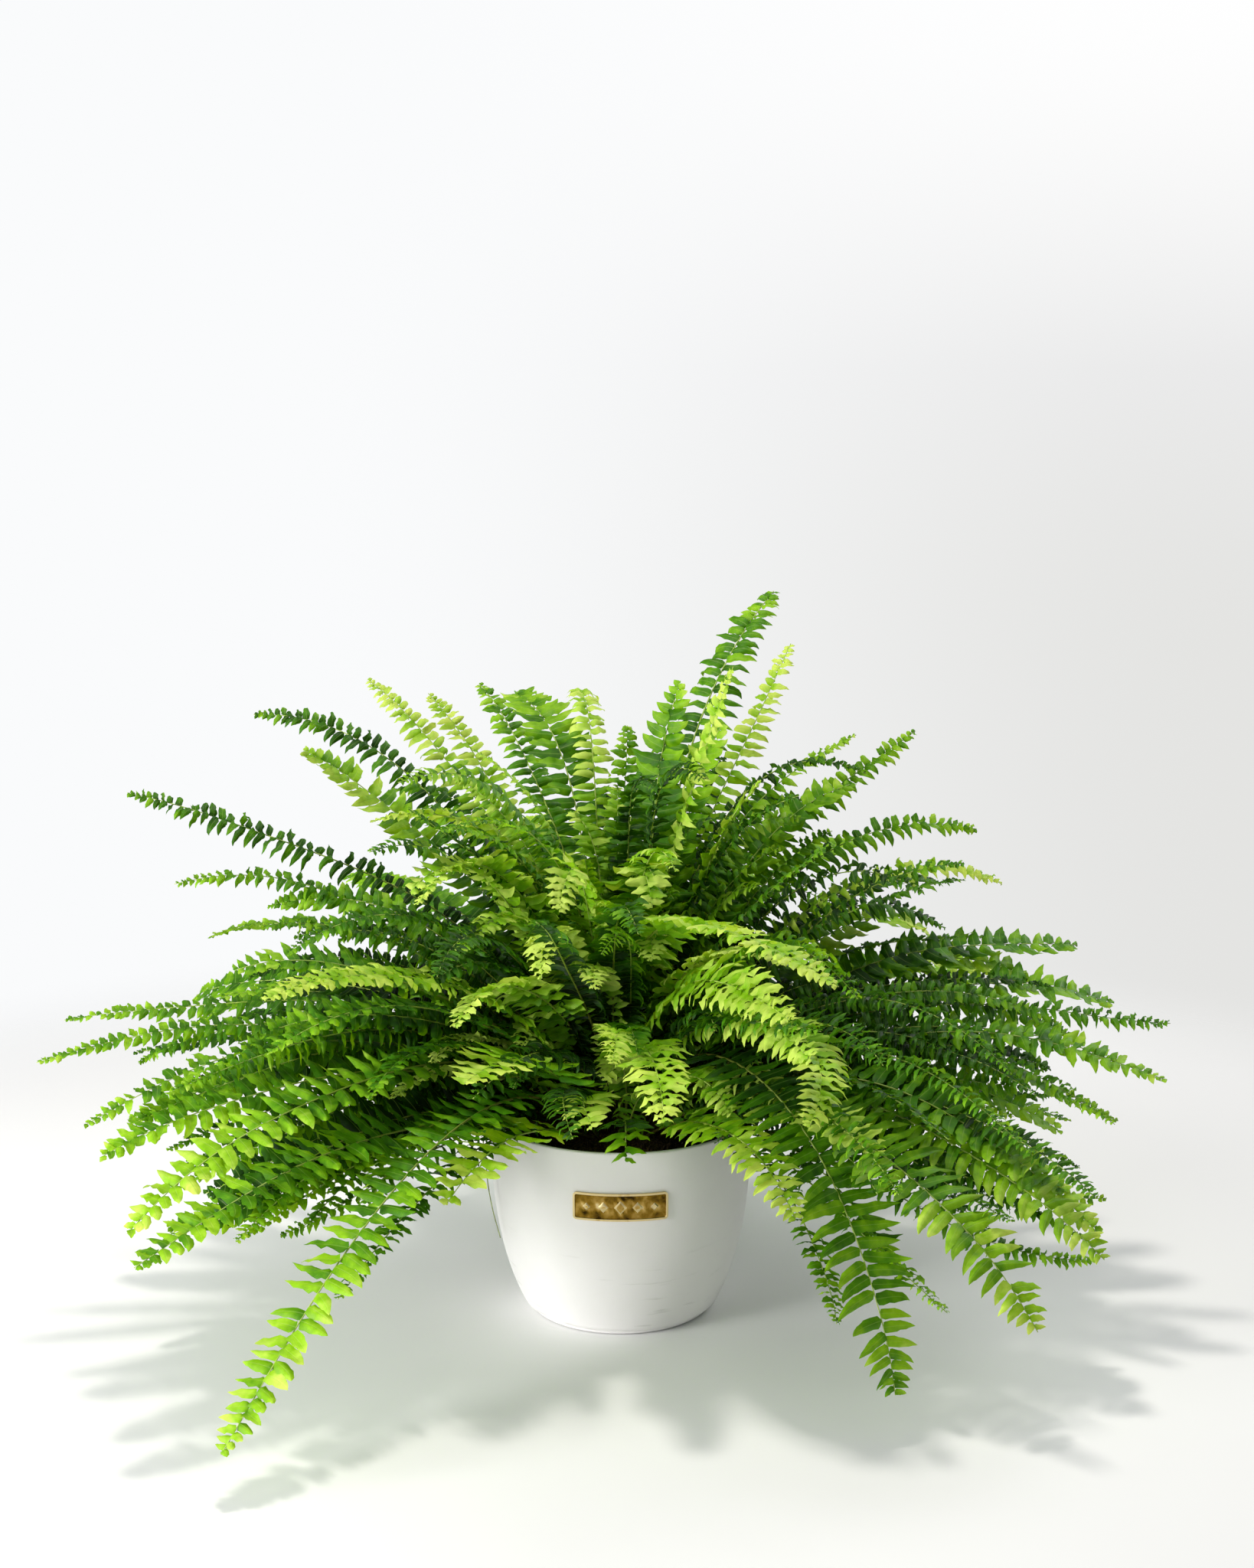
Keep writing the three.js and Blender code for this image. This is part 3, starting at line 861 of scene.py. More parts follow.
# ---------------------------------------------------------------------------
# Fronds
# Each frond is one leaf: a wiry stalk that carries on as the midrib, and two rows of
# thin sickle-shaped leaflets on short necks. They stand close at the tip, overlap like
# shingles, and droop more the older the frond is.
# ---------------------------------------------------------------------------

STALK_LENGTH = 52 * MM
LEAFLET_ROWS = 9
LEAFLET_COLUMNS = 4
STALK_SIDES = 6
STALK_RINGS = 36
LINE_POINTS = 90
UP = np.array([0.0, 0.0, 1.0])
TO_LIGHT = np.array([-0.1, -1.0, 0.35])
BLADE_CORNER = 3 * MM

# How far along a leaflet each row of its grid lies, and half of its width there.
ROW_SHARES = np.array([0, 0.04, 0.14, 0.28, 0.43, 0.58, 0.72, 0.84, 0.94, 1])
ROW_WIDTHS = np.array([0.2, 0.84, 0.97, 1.0, 0.96, 0.84, 0.65, 0.42, 0.18, 0])

# How long the leaflets are, and how far apart, from the bottom of the blade to its tip, and
# the share of them that has dropped off.
BLADE_SHARES = [0, 0.08, 0.25, 0.5, 0.7, 0.85, 0.94, 1]
BLADE_LENGTHS = [0.6, 0.85, 1.0, 0.96, 0.83, 0.65, 0.45, 0.16]
BLADE_SPACINGS = [1.1, 1.05, 1.0, 1.0, 0.97, 0.88, 0.68, 0.4]
DROPPED = 0.015

# A leaflet's outline: an ear on the side towards the tip, near the neck, and shallow lobes.
# Then its relief: how far it is cupped and creased for its width, and its waves.
EAR_SIZE = 0.25
EAR_AT = 0.07
EAR_SPREAD = 0.006
LOBE_DEPTH = 0.07
LOBE_COUNT = 4.2
CUPPED, CUPPED_SPREAD = 0.12, 0.07
DEEPEST_CREASE = 0.2
WAVE_COUNTS = (1.6, 2.6)

# How leaflets differ from one another: the spread of each of the habit's values as a share
# of it, and in radians the end's bend towards the frond's tip, stray curl and stray twist.
SPREADS = {"lift": 0.4, "droop": 0.35, "curl": 0.35, "reach_up": 0.5, "twist": 0.5}
END_BEND = (0.2, 0.75)
STRAY_CURL = 0.25
STRAY_TWIST = 0.35

# How thick a stalk is at its foot and how fast it thins, and how far it sways to the side
# and up and down as a share of the frond's length, in radians of a wave along it.
STALK_RADII = (0.9, 1.1)
STALK_FOOT, STALK_THINS = 1.15, 0.85
SWAY = 0.006
SWAY_WAVE, NOD_WAVE = 9, 11

# Each habit: leaflet length and spacing in mm, how wide they are for their spacing from the
# bottom of the blade to its tip, then in radians their lift at the base, droop, curl of the
# end (below 0 it turns up) and twist, and last how much they sag, end pointing up, turn
# their face to the sky, and wave.
HABITS = {
    "broad": dict(
        long=32, apart=10.2, wide=[0.74, 0.8, 0.9, 1.0], lift=0.15, droop=0.15, curl=-0.1,
        twist=0.14, sag=0.03, reach_up=0.3, face_up=0.15, wave=0.14,
    ),
    "ladder": dict(
        long=39, apart=9.6, wide=[0.66, 0.72, 0.8, 0.86], lift=0.1, droop=0.12, curl=0.05,
        twist=0.1, sag=-0.04, reach_up=0.12, face_up=0.05, wave=0.12,
    ),
    "sickle": dict(
        long=21, apart=8.0, wide=[0.76, 0.8, 0.9, 0.95], lift=0.3, droop=0.5, curl=0.25,
        twist=0.3, sag=0.2, reach_up=0.35, face_up=0.35, wave=0.16,
    ),
    "curly": dict(
        long=23, apart=7.8, wide=[0.62, 0.66, 0.72, 0.85], lift=0.5, droop=0.6, curl=2.1,
        twist=0.6, sag=0.3, reach_up=0.0, face_up=0.7, wave=0.22,
    ),
    "feathery": dict(
        long=23, apart=7.4, wide=[0.66, 0.7, 0.76, 0.9], lift=0.4, droop=0.7, curl=1.1,
        twist=0.35, sag=0.35, reach_up=0.0, face_up=0.9, wave=0.15,
    ),
    "young": dict(
        long=25, apart=6.8, wide=[1.05, 1.12, 1.15, 1.1], lift=0.25, droop=0.3, curl=0.45,
        twist=0.2, sag=0.1, reach_up=0.1, face_up=0.25, wave=0.2,
    ),
}


def leaflet_mesh():
    """A flat leaflet grid from x 0 to 1 and y -1 to 1, closed to a point at x 1."""
    bm = bmesh.new()
    bm.loops.layers.uv.new("leaf")
    bmesh.ops.create_grid(
        bm, x_segments=LEAFLET_ROWS, y_segments=LEAFLET_COLUMNS, size=1, calc_uvs=True
    )
    for dot in bm.verts:
        dot.co.x = (dot.co.x + 1) / 2
        if dot.co.x > 0.999:
            dot.co.y = 0
    bmesh.ops.remove_doubles(bm, verts=bm.verts, dist=1e-5)
    for face in bm.faces:
        face.smooth = True
        face.material_index = 1
    mesh = bpy.data.meshes.new("leaflet")
    bm.to_mesh(mesh)
    bm.free()
    return mesh


LEAFLET = leaflet_mesh()
LEAFLET_AT = places(LEAFLET)
LEAFLET_ROW = np.round(LEAFLET_AT[:, 0] * LEAFLET_ROWS).astype(int)
STALK = tube_mesh("frond_stalk", STALK_SIDES, STALK_RINGS)
STALK_AT = places(STALK)


def own_map(mesh):
    """A mesh's own UV map as an array with a row for each face corner."""
    found = np.empty(len(mesh.loops) * 2)
    mesh.uv_layers["leaf"].uv.foreach_get("vector", found)
    return found.reshape(-1, 2)


LEAFLET_MAP = own_map(LEAFLET)
STALK_MAP = own_map(STALK)


def leaflet_places(rng, base, forward, side, up, sign, length, width, angle, habit, ease):
    """Vertices of many leaflets, as (leaflet, vertex, 3). Each array has one row for each
    leaflet: where it grows, the midrib's directions there, its side, size and angle from
    the midrib. ease is how much of the habit's droop each has."""
    count = len(base)

    def varied(key):
        return habit[key] * rng.normal(1, SPREADS[key], count)

    sign = sign[:, None]
    bend = rng.uniform(*END_BEND, count)
    lift = varied("lift")
    droop = ease * varied("droop")
    curl = ease * varied("curl") + rng.normal(0, STRAY_CURL, count)
    reach_up = varied("reach_up")

    # The leaflet's middle line, one step for each row of its grid.
    middle, heads = [base], []
    for k in range(LEAFLET_ROWS):
        u = (ROW_SHARES[k] + ROW_SHARES[k + 1]) / 2
        turn = (angle - bend * u**2.5)[:, None]
        flat = np.cos(turn) * forward + np.sin(turn) * sign * side
        pitch = (lift * (1 - u) - droop * u - curl * u**2.5)[:, None]
        head = np.cos(pitch) * flat + np.sin(pitch) * up
        head = unit(head + (reach_up * u**3 - habit["sag"] * u)[:, None] * UP)
        step = (length * (ROW_SHARES[k + 1] - ROW_SHARES[k]))[:, None]
        heads.append(head)
        middle.append(middle[-1] + step * head)
    heads = [heads[0]] + [unit(a + b) for a, b in zip(heads, heads[1:])] + [heads[-1]]
    heads = np.stack(heads, 1)
    middle = np.stack(middle, 1)

    # The directions across it and out of its face, turned a little more at each row.
    turn = angle[:, None]
    tipward = np.sin(turn) * forward - np.cos(turn) * sign * side
    tipward = tipward[:, None] - (tipward[:, None] * heads).sum(-1, keepdims=True) * heads
    face = sign[:, None] * np.cross(heads, unit(tipward))
    face = face + (habit["face_up"] * rng.uniform(0.4, 1.6, count))[:, None, None] * UP
    face = unit(face - (face * heads).sum(-1, keepdims=True) * heads)
    across = sign[:, None] * np.cross(face, heads)
    twist = varied("twist")[:, None]
    twist = twist + rng.normal(0, STRAY_TWIST, count)[:, None] * ROW_SHARES
    c, s = np.cos(twist)[..., None], np.sin(twist)[..., None]
    across, face = c * across + s * face, c * face - s * across

    # Its outline, and how far each point rises out of the flat.
    row = LEAFLET_ROW
    v = sign * LEAFLET_AT[:, 1]
    u = ROW_SHARES[row]
    ear = 1 + EAR_SIZE * (v > 0) * np.exp(-((u - EAR_AT) ** 2) / EAR_SPREAD)
    lobes = math.tau * (LOBE_COUNT * u + rng.uniform(0, 1, (count, 1))) + v
    lobes = 1 + LOBE_DEPTH * np.sin(lobes)
    half = 0.5 * width[:, None] * ROW_WIDTHS[row] * ear * lobes
    cup = rng.normal(CUPPED, CUPPED_SPREAD, (count, 1))
    crease = rng.uniform(0, DEEPEST_CREASE, (count, 1))
    waves = rng.uniform(*WAVE_COUNTS, (count, 1)) * u
    waves = waves + rng.uniform(0, 1, (count, 1)) + 0.25 * v
    ripple = habit["wave"] * rng.uniform(0.5, 1.5, (count, 1)) * np.sin(math.tau * waves)
    rise = crease * abs(v) - 2 * cup * v**2 + ripple * v**2 * np.sign(v)
    rise = width[:, None] * ROW_WIDTHS[row] * rise
    return (
        middle[:, row]
        + (v * half)[..., None] * across[:, row]
        + rise[..., None] * face[:, row]
    )


class Bunch:
    """One or more fronds that make one piece."""

    def __init__(self):
        self.bm = bmesh.new()
        self.co, self.growth, self.bake = [], [], []
        self.leaflets = 0
        self.stalks = 0

    def grow(
        self, line, up, tone, seed, habit="broad", size=1.0, bare=STALK_LENGTH, roll=0.3
    ):
        """Adds a frond along a line of points. tone is 0 for an old dark frond and 1 for a
        young bright one, and low tones also stand as painted shade for fronds deep in the
        plant;
        size scales its leaflets, bare is the length of stalk below them, and roll is how
        much the blade has turned its face to the light in front of it."""
        rng = np.random.default_rng(seed)
        habit = HABITS[habit]
        line = curve_through(line, LINE_POINTS)
        forward = unit(np.gradient(line, axis=0))
        share = np.linspace(0, 1, len(line))
        old = np.linspace(0, 1, len(up))
        up = np.stack([np.interp(share, old, v) for v in up.T], 1)
        up = up + (roll * share**0.5)[:, None] * TO_LIGHT
        up = unit(up - (up * forward).sum(1, keepdims=True) * forward)
        side = np.cross(forward, up)
        total = np.linalg.norm(np.diff(line, axis=0), axis=1).sum()
        phase = rng.uniform(0, math.tau, 2)
        sway = SWAY * total * np.sin(SWAY_WAVE * share + phase[0]) * share
        nod = SWAY * total * np.sin(NOD_WAVE * share + phase[1]) * share
        line = line + sway[:, None] * side + nod[:, None] * up

        thick = rng.uniform(*STALK_RADII) * MM * (0.5 + 0.5 * size)

        def stalk_radius(z):
            return thick * (STALK_FOOT - STALK_THINS * z**0.7)

        self.bm.from_mesh(STALK)
        self.stalks += 1
        self.co.append(bent_tube(STALK_AT, line, side, up, stalk_radius))
        z = STALK_AT[:, 2]
        self.growth.append(np.stack([0 * z + 0.5, z, 0 * z + tone, 0 * z + 1], 1))
        self.bake.append(("stalk", 1))

        blade = total - bare
        apart = habit["apart"] * MM * size * rng.uniform(0.94, 1.06)
        at, t = [], 0.0
        while t < 0.995:
            at.append(t)
            t += 0.5 * apart * np.interp(t, BLADE_SHARES, BLADE_SPACINGS) / blade
        at = np.array(at)
        sign = np.where(np.arange(len(at)) % 2 == 0, 1.0, -1.0)
        keep = rng.uniform(0, 1, len(at)) > DROPPED
        at, sign = at[keep], sign[keep]
        count = len(at)
        taper = np.interp(at, BLADE_SHARES, BLADE_LENGTHS)
        length = habit["long"] * MM * size * rng.uniform(0.92, 1.08) * taper
        length = length * rng.normal(1, 0.06, count)
        width = apart * np.interp(at, BLADE_SHARES, BLADE_SPACINGS)
        width = width * np.interp(at, [0, 0.3, 0.7, 1], habit["wide"])
        width = np.minimum(width * rng.normal(1.03, 0.06, count), 0.9 * length)
        angle = np.radians(88 - 16 * at**2 + rng.normal(0, 5, count))
        ease = (1.15 - 0.75 * at) * rng.uniform(0.75, 1.25)
        where = (bare + at * blade) / total

        def read(values):
            return np.stack([np.interp(where, share, v) for v in values.T], 1)

        made = leaflet_places(
            rng,
            read(line) + 0.5 * stalk_radius(where)[:, None] * read(up),
            unit(read(forward)),
            unit(read(side)),
            unit(read(up)),
            sign,
            length,
            width,
            angle,
            habit,
            ease,
        )
        for _ in range(count):
            self.bm.from_mesh(LEAFLET)
        self.leaflets += count
        self.co.append(made.reshape(-1, 3))
        each = np.stack([rng.uniform(0, 1, count), at, 0 * at + tone, 0 * at + 1], 1)
        self.growth.append(np.repeat(each, len(LEAFLET_AT), 0))
        self.bake.append(("leaflet", count))

    def finish(self, name, slot, *nodes):
        """Makes the piece, fastens it to the root body and hides the CAD nodes it stands
        for.
        """
        piece = new_piece(name, self.bm, midrib_green, leaf_green)
        mesh = piece.data
        mesh.vertices.foreach_set("co", np.concatenate(self.co).astype(np.float32).ravel())
        growth = mesh.attributes.new("growth", "FLOAT_COLOR", "POINT")
        growth.data.foreach_set("color", np.concatenate(self.growth).ravel())
        mesh.uv_layers.new(name="OFBake").uv.foreach_set("vector", self.bake_map())
        mesh.uv_layers.active = mesh.uv_layers["leaf"]
        mesh.update()
        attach(piece, "root")
        if nodes:
            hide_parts(*nodes)
        return piece

    def bake_map(self):
        """A flat layout that gives each leaflet a cell of its own, and each stalk a strip
        along the top."""
        columns = math.ceil(math.sqrt(self.leaflets * 0.4))
        rows = math.ceil(self.leaflets / columns)
        strip = 0.06
        made, leaflet, stalk = [], 0, 0
        for kind, count in self.bake:
            for _ in range(count):
                if kind == "leaflet":
                    corner = np.array([leaflet % columns, leaflet // columns])
                    cell = np.array([1 / columns, (1 - strip) / rows])
                    made.append((corner + 0.06 + 0.88 * LEAFLET_MAP) * cell)
                    leaflet += 1
                else:
                    corner = np.array([0, stalk])
                    cell = np.array([1, strip / self.stalks])
                    turned_map = STALK_MAP[:, ::-1]
                    made.append((0, 1 - strip) + (corner + 0.02 + 0.96 * turned_map) * cell)
                    stalk += 1
        return np.concatenate(made).astype(np.float32).ravel()


# Live fern leaf: thin, faintly waxy, IOR about 1.45. Light passes through it and comes out
# yellower. Veins fork outward from a pale middle vein, about 24 to each side. The green is
# mottled in patches 7.7 mm across, and pales towards the leaflet's end and towards the
# frond's tip: the tip is younger growth, and the darker lower blade is partly painted
# shade.
# The near-black dark end and the pale bright end reach past a leaf's own greens, partly as
# painted shade and painted highlight.
LEAF_COLOURS = [
    (0.0, "#0a1e02"),
    (0.25, "#1f4803"),
    (0.5, "#478406"),
    (0.75, "#8fc71a"),
    (1.0, "#d9f06c"),
]
SHINE_THROUGH = [
    (0.0, "#225002"),
    (0.25, "#438003"),
    (0.5, "#7ab604"),
    (0.75, "#b8e00c"),
    (1.0, "#e2f440"),
]
leaf_green, tree = new_material("live_fern_leaf")
age_and_shade_read = add_node(tree, "ShaderNodeAttribute", attribute_name="growth").outputs["Color"]
age_and_shade_read = add_node(tree, "ShaderNodeSeparateColor", {0: age_and_shade_read}).outputs
uv = add_node(tree, "ShaderNodeUVMap", uv_map="leaf").outputs[0]
place = add_node(tree, "ShaderNodeSeparateXYZ", {0: uv}).outputs
at = add_node(tree, "ShaderNodeTexCoord").outputs["Object"]
mottle = add_node(
    tree, "ShaderNodeTexNoise", {"Vector": at, "Scale": 1 / (7.69 * MM), "Detail": 4}
).outputs["Fac"]

# The veins, from how far along the leaflet a point is and how far off its middle vein.
off_vein = add_node(
    tree, "ShaderNodeMath", {0: place["Y"], 1: 0.5}, operation="SUBTRACT"
).outputs[0]
off_vein = add_node(tree, "ShaderNodeMath", {0: off_vein}, operation="ABSOLUTE").outputs[0]
vein = add_node(
    tree, "ShaderNodeMapRange", {"Value": off_vein, "From Min": 0.05, "From Max": 0}
).outputs["Result"]
slant = add_node(
    tree, "ShaderNodeMath", {0: off_vein, 1: -55}, operation="MULTIPLY"
).outputs[0]
slant = add_node(
    tree, "ShaderNodeMath", {0: place["X"], 1: 150, 2: slant}, operation="MULTIPLY_ADD"
).outputs[0]
fork = add_node(tree, "ShaderNodeMath", {0: slant}, operation="SINE").outputs[0]

# The tone: the frond's own, then the leaflet's own, its place on the frond (darker towards
# the foot, partly as painted shade), the place on the leaflet, the mottling and the side
# veins, each one around its middle.
WEIGHTS = [
    (age_and_shade_read["Red"], 0.3),
    (age_and_shade_read["Green"], 0.42),
    (place["X"], 0.24),
    (mottle, 0.5),
]
tone = add_node(
    tree, "ShaderNodeMath", {0: fork, 1: 0.025, 2: age_and_shade_read["Blue"]}, operation="MULTIPLY_ADD"
).outputs[0]
for value, weight in WEIGHTS:
    tone = add_node(
        tree, "ShaderNodeMath", {0: tone, 1: weight / 2}, operation="SUBTRACT"
    ).outputs[0]
    tone = add_node(
        tree, "ShaderNodeMath", {0: value, 1: weight, 2: tone}, operation="MULTIPLY_ADD"
    ).outputs[0]

blade = add_node(tree, "ShaderNodeValToRGB", {0: tone}, stops=LEAF_COLOURS).outputs[0]
through = add_node(tree, "ShaderNodeValToRGB", {0: tone}, stops=SHINE_THROUGH).outputs[0]
paler = add_node(
    tree, "ShaderNodeMath", {0: vein, 1: 0.45}, operation="MULTIPLY"
).outputs[0]
veined = add_node(
    tree,
    "ShaderNodeMix",
    {"Factor": paler, 6: blade, 7: linear("#a9c765")},
    data_type="RGBA",
).outputs[2]
relief = add_node(tree, "ShaderNodeMath", {0: vein, 1: -1}, operation="MULTIPLY").outputs[0]
relief = add_node(
    tree, "ShaderNodeMath", {0: fork, 1: 0.175, 2: relief}, operation="MULTIPLY_ADD"
).outputs[0]
bumps = add_node(
    tree, "ShaderNodeBump", {"Height": relief, "Strength": 0.35, "Distance": 0.3 * MM}
).outputs[0]
rough = add_node(
    tree,
    "ShaderNodeMapRange",
    {"Value": mottle, "From Min": 0.3, "From Max": 0.7, "To Min": 0.4, "To Max": 0.6},
).outputs["Result"]
skin = add_node(
    tree,
    "ShaderNodeBsdfPrincipled",
    {
        "Base Color": veined,
        "Roughness": rough,
        "Normal": bumps,
        "IOR": 1.45,
        "Specular IOR Level": 0.32,
    },
)
flesh = add_node(tree, "ShaderNodeBsdfTranslucent", {"Color": through, "Normal": bumps})
whole = add_node(
    tree, "ShaderNodeMixShader", {0: 0.32, 1: skin.outputs[0], 2: flesh.outputs[0]}
)
add_node(tree, "ShaderNodeOutputMaterial", {"Surface": whole.outputs[0]})

# The stalk and midrib: smooth and wiry, brown where it leaves the crown and green by the
# tip, with brown scurf in patches 2.5 mm long.
midrib_green, tree = new_material("wiry_fern_midrib")
age_and_shade_read = add_node(tree, "ShaderNodeAttribute", attribute_name="growth").outputs["Color"]
age_and_shade_read = add_node(tree, "ShaderNodeSeparateColor", {0: age_and_shade_read}).outputs
at = add_node(tree, "ShaderNodeTexCoord").outputs["Object"]
scurf = add_node(
    tree, "ShaderNodeTexNoise", {"Vector": at, "Scale": 1 / (2.5 * MM), "Detail": 3}
).outputs["Fac"]
climb = age_and_shade_read["Green"]
for value, weight in [(age_and_shade_read["Blue"], 0.3), (scurf, 0.2)]:
    climb = add_node(
        tree, "ShaderNodeMath", {0: value, 1: weight, 2: climb}, operation="MULTIPLY_ADD"
    ).outputs[0]
MIDRIB_COLOURS = [
    (0.1, "#3b2a14"),
    (0.35, "#55491e"),
    (0.6, "#6f7a28"),
    (0.9, "#8fa83a"),
    (1, "#a5bd55"),
]
tint = add_node(tree, "ShaderNodeValToRGB", {0: climb}, stops=MIDRIB_COLOURS).outputs[0]
shader = add_node(
    tree,
    "ShaderNodeBsdfPrincipled",
    {"Base Color": tint, "Roughness": 0.45, "IOR": 1.45},
)
add_node(tree, "ShaderNodeOutputMaterial", {"Surface": shader.outputs[0]})


def midrib_of(node):
    """The line of a CAD frond's midrib from its foot to its tip, and the blade's upward
    direction at each ring of the frond, read from a merged copy of its mesh."""
    bm = bmesh.new()
    bm.from_mesh(frame["nodes"][node].data)
    bmesh.ops.remove_doubles(bm, verts=bm.verts, dist=1e-6)
    rings = []
    for tip in bm.verts:
        if len(tip.link_edges) != 4:
            continue
        rings, met = [[tip]], {tip}
        while rings[-1]:
            near = {e.other_vert(v) for v in rings[-1] for e in v.link_edges} - met
            met |= near
            rings.append(sorted(near, key=lambda v: v.index))
        rings.pop()
        if all(len(ring) == 4 for ring in rings[1:]):
            break
    line, ups, side = [np.array(tip.co)], [], None
    for ring in rings[1:]:
        corners = [np.array(v.co) for v in ring]
        middle = sum(corners) / 4
        arms = [c - middle for c in corners]
        ahead = line[-1] - middle
        widest = max(arms, key=np.linalg.norm)
        if side is None or np.linalg.norm(widest) > BLADE_CORNER:
            side = widest
        else:
            side = max(arms, key=lambda a: float(a @ side))
        up = unit(np.cross(side, ahead))
        inward = np.r_[-unit(middle[:2]) * ahead[2], np.hypot(*ahead[:2])]
        ups.append(up if up @ inward > 0 else -up)
        line.append(middle)
    bm.free()
    line, ups = line[::-1], ups[::-1]
    return np.array(line), np.array(ups + [ups[-1]])


# Each frond's tone by its slot, how much paler or darker some are, which habit each one
# has, how large its leaflets are, and which ones stand upright and face the light.
TONES = {"leaf_light": 0.78, "leaf_mid": 0.47, "leaf_dark": 0.3}
PALER = {
    "front_1": -0.2, "top_5": 0.15, "left_9": -0.14, "right_2": -0.16, "right_4": -0.14,
}
KINDS = {
    "broad": "left_8 left_9 left_10 left_11 front_1 front_2 right_5 back_1"
    " back_3 back_5 back_7",
    "ladder": "right_1 right_2 right_4",
    "sickle": "left_5 left_6 left_7 front_8 right_6 right_9 right_11 back_2 back_6 back_9",
    "young": "front_3 front_4 front_6 front_7 front_9 front_10 front_11 front_12 front_13"
    " right_3 back_8",
    "feathery": "top_1 top_2 top_3 top_4 top_5 top_6 top_7 front_5",
    "curly": "left_1 left_2 left_3 left_4 right_7 right_8 right_10 right_12 right_13"
    " top_8 back_4",
}
LEAFLET_SIZES = {
    "right_3": 1.12, "top_5": 1.3, "front_12": 1.1, "front_9": 1.12, "front_10": 1.05,
    "front_11": 1.15, "front_13": 1.1, "left_5": 0.85, "left_6": 0.85, "left_3": 0.9,
    "left_4": 0.9,
}
HABIT_OF = {short: habit for habit, names in KINDS.items() for short in names.split()}
UPRIGHT = set("left_1 left_2 right_12 right_13".split())
UPRIGHT |= {f"top_{i}" for i in range(1, 9)}
ROLL, UPRIGHT_ROLL = 0.3, 1.3
fronds = [name for name in frame["nodes"] if name.startswith("frond_")]
for number, name in enumerate(fronds):
    slot = frame["nodes"][name].data.materials[0].name
    short = name.replace("frond_", "")
    bunch = Bunch()
    bunch.grow(
        *midrib_of(name),
        TONES[slot] + PALER.get(short, 0),
        100 + number,
        HABIT_OF[short],
        size=LEAFLET_SIZES.get(short, 1),
        roll=UPRIGHT_ROLL if short in UPRIGHT else ROLL,
    )
    bunch.finish(name.replace("frond", "fern_leaf"), slot, name)

# ---------------------------------------------------------------------------
# Inner fronds
# The rest of the plant: smaller and older fronds between the others, which close the heart
# of the fern. Most are given low tones, partly for age and partly as painted shade deep
# inside the plant. Each grows from the crown as they do, and they are made in groups.
# ---------------------------------------------------------------------------

FOOT_RADIUS = 0.92 * CROWN_RADIUS


def arched(heading, rise, reach, height, pitch, swing=0, twist=0):
    """A frond's midrib and its upward directions. heading, rise, pitch, swing and twist
    are in degrees, reach and the tip's height above the floor in millimetres."""
    foot = FOOT_RADIUS * (1 - rise / 95) ** 0.7
    start = np.array([foot, crown_height(foot) - 0.5 * MM])
    end = np.array([reach, height]) * MM
    rise, pitch = math.radians(rise), math.radians(pitch)
    handle = np.linalg.norm(end - start) / (3 * math.cos((rise - pitch) / 4) ** 2)
    leave = np.array([math.cos(rise), math.sin(rise)])
    arrive = np.array([math.cos(pitch), math.sin(pitch)])
    t = np.linspace(0, 1, 40)[:, None]
    r, z = (
        (1 - t) ** 3 * start
        + 3 * t * (1 - t) ** 2 * (start + 1.15 * handle * leave)
        + 3 * t**2 * (1 - t) * (end - 0.85 * handle * arrive)
        + t**3 * end
    ).T
    turn = np.radians(heading + swing * t[:, 0] ** 2)
    line = np.stack([r * np.cos(turn), r * np.sin(turn), z], 1)
    forward = unit(np.gradient(line, axis=0))
    out = np.stack([np.cos(turn), np.sin(turn), 0 * turn], 1)
    side = unit(np.cross(out, UP))
    up = unit(np.cross(side, forward))
    twist = math.radians(twist)
    return line, math.cos(twist) * up + math.sin(twist) * np.cross(forward, up)


# Heading, rise, reach, tip height, pitch and tone of the ones that can be told apart.
TOLD_APART = {
    "left": [
        (-140, 69, 171, 315, -41, 0.8),
        (-115, 49, 222, 221, -9, 0.7),
        (200, 55, 263, 259, -12, 0.5),
    ],
    "right": [
        (24, 51, 244, 235, -42, 0.7),
        (-3, 34, 302, 126, -37, 0.5),
        (-50, 39, 245, 171, -16, 0.85),
        (-26, 43, 334, 101, -50, 0.6),
        (10, 51, 302, 213, -29, 0.6),
        (20, 77, 171, 355, 16, 0.5),
        (12, 50, 332, 236, -12, 0.4),
        (3, 46, 340, 207, -20, 0.45),
        (-11, 42, 335, 188, -25, 0.5),
    ],
    "top": [
        (161, 75, 238, 374, 21, 0.6),
        (110, 78, 243, 395, -13, 0.5),
        (-30, 78, 105, 375, 48, 0.7),
        (-80, 84, 110, 305, -60, 0.75),
        (50, 85, 62, 428, 70, 0.45),
        (30, 84, 80, 400, 60, 0.5),
    ],
}
for place_name, rows in TOLD_APART.items():
    bunch = Bunch()
    for i, (heading, rise, reach, height, pitch, tone) in enumerate(rows):
        bunch.grow(*arched(heading, rise, reach, height, pitch), tone, 300 + i)
    bunch.finish(f"inner_fronds_{place_name}", "leaf_mid")

KINDS_INSIDE = {
    "skirt": ["broad", "sickle"],
    "left": ["broad", "sickle", "sickle", "curly"],
    "right": ["sickle", "curly", "curly"],
    "middle": ["feathery", "curly", "curly", "young"],
    "heart": ["feathery", "feathery", "curly"],
    "front": ["young", "young", "feathery"],
    "rim": ["young", "curly", "feathery"],
}
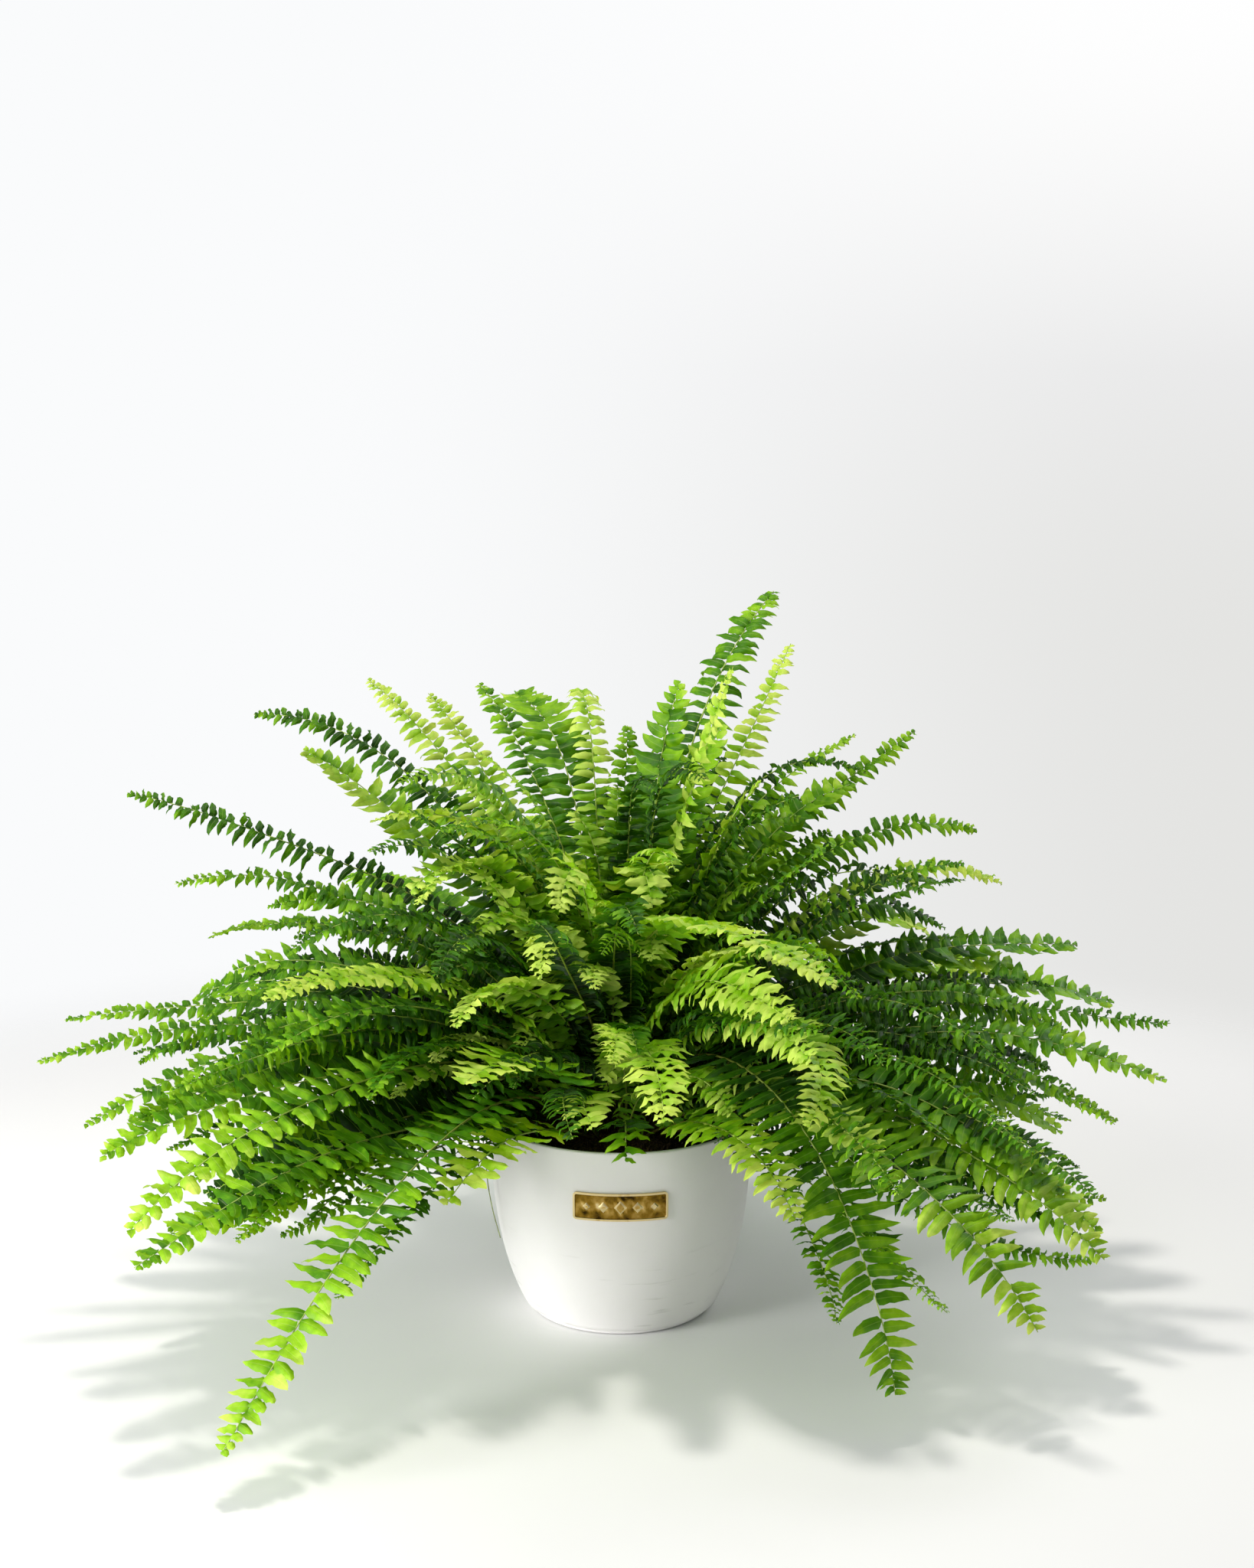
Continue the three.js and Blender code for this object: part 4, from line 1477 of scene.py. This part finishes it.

# The ones between: how many, then the ranges that each one's heading, rise, reach, tip
# height, pitch, tone and size are drawn from. None of them hangs over the front of the pot.
# Most tone ranges are low, partly for age and partly as painted shade inside the plant.
FILLING = {
    "skirt": (
        30, (-40, 220), (30, 50), (210, 320), (85, 180), (-42, -12), (0.05, 0.4), (0.8, 1),
    ),
    "left": (
        30, (166, 224), (30, 62), (240, 345), (70, 250), (-36, -8), (0.08, 0.58),
        (0.72, 0.95),
    ),
    "right": (
        34, (-50, 26), (30, 64), (235, 345), (75, 255), (-36, 4), (0.05, 0.52),
        (0.72, 0.95),
    ),
    "middle": (
        40, (0, 360), (50, 70), (130, 250), (190, 300), (-45, 0), (0.04, 0.58), (0.75, 1),
    ),
    "heart": (
        40, (0, 360), (66, 84), (50, 200), (290, 385), (-25, 45), (0.12, 0.66), (0.75, 1),
    ),
    "front": (
        14, (205, 325), (50, 80), (95, 185), (170, 290), (-62, -20), (0.65, 0.95), (0.7, 1),
    ),
    "rim": (
        26, (0, 360), (25, 66), (60, 128), (135, 215), (-60, -5), (0.12, 0.8), (0.5, 0.72),
    ),
}
MOST_IN_A_PIECE = 20
HEIGHT_STRAY = 15
SWING_STRAY = 14
TWIST_STRAY = 25
RIM_BARE = 15 * MM
for ring, (place_name, (count, turns, *ranges)) in enumerate(FILLING.items()):
    rng = np.random.default_rng(70 + ring)
    for i in range(count):
        if i % MOST_IN_A_PIECE == 0:
            bunch = Bunch()
        heading = turns[0] + (i + rng.uniform(0.0, 1.0)) * (turns[1] - turns[0]) / count
        share = rng.uniform(0, 1)
        rise, height = (low + share * (high - low) for low, high in (ranges[0], ranges[2]))
        reach, pitch, tone, size = (rng.uniform(*ranges[k]) for k in (1, 3, 4, 5))
        height += rng.uniform(-HEIGHT_STRAY, HEIGHT_STRAY)
        swing = rng.uniform(-SWING_STRAY, SWING_STRAY)
        twist = rng.uniform(-TWIST_STRAY, TWIST_STRAY)
        bunch.grow(
            *arched(heading, rise, reach, height, pitch, swing, twist),
            tone,
            400 + 60 * ring + i,
            rng.choice(KINDS_INSIDE[place_name]),
            size=size,
            bare=RIM_BARE if place_name == "rim" else rng.uniform(32, 50) * MM,
            roll=rng.uniform(0, 0.5),
        )
        part, place_in_part = divmod(i, MOST_IN_A_PIECE)
        if place_in_part == MOST_IN_A_PIECE - 1 or i == count - 1:
            bunch.finish(f"filling_fronds_{place_name}_{part + 1}", "leaf_dark")
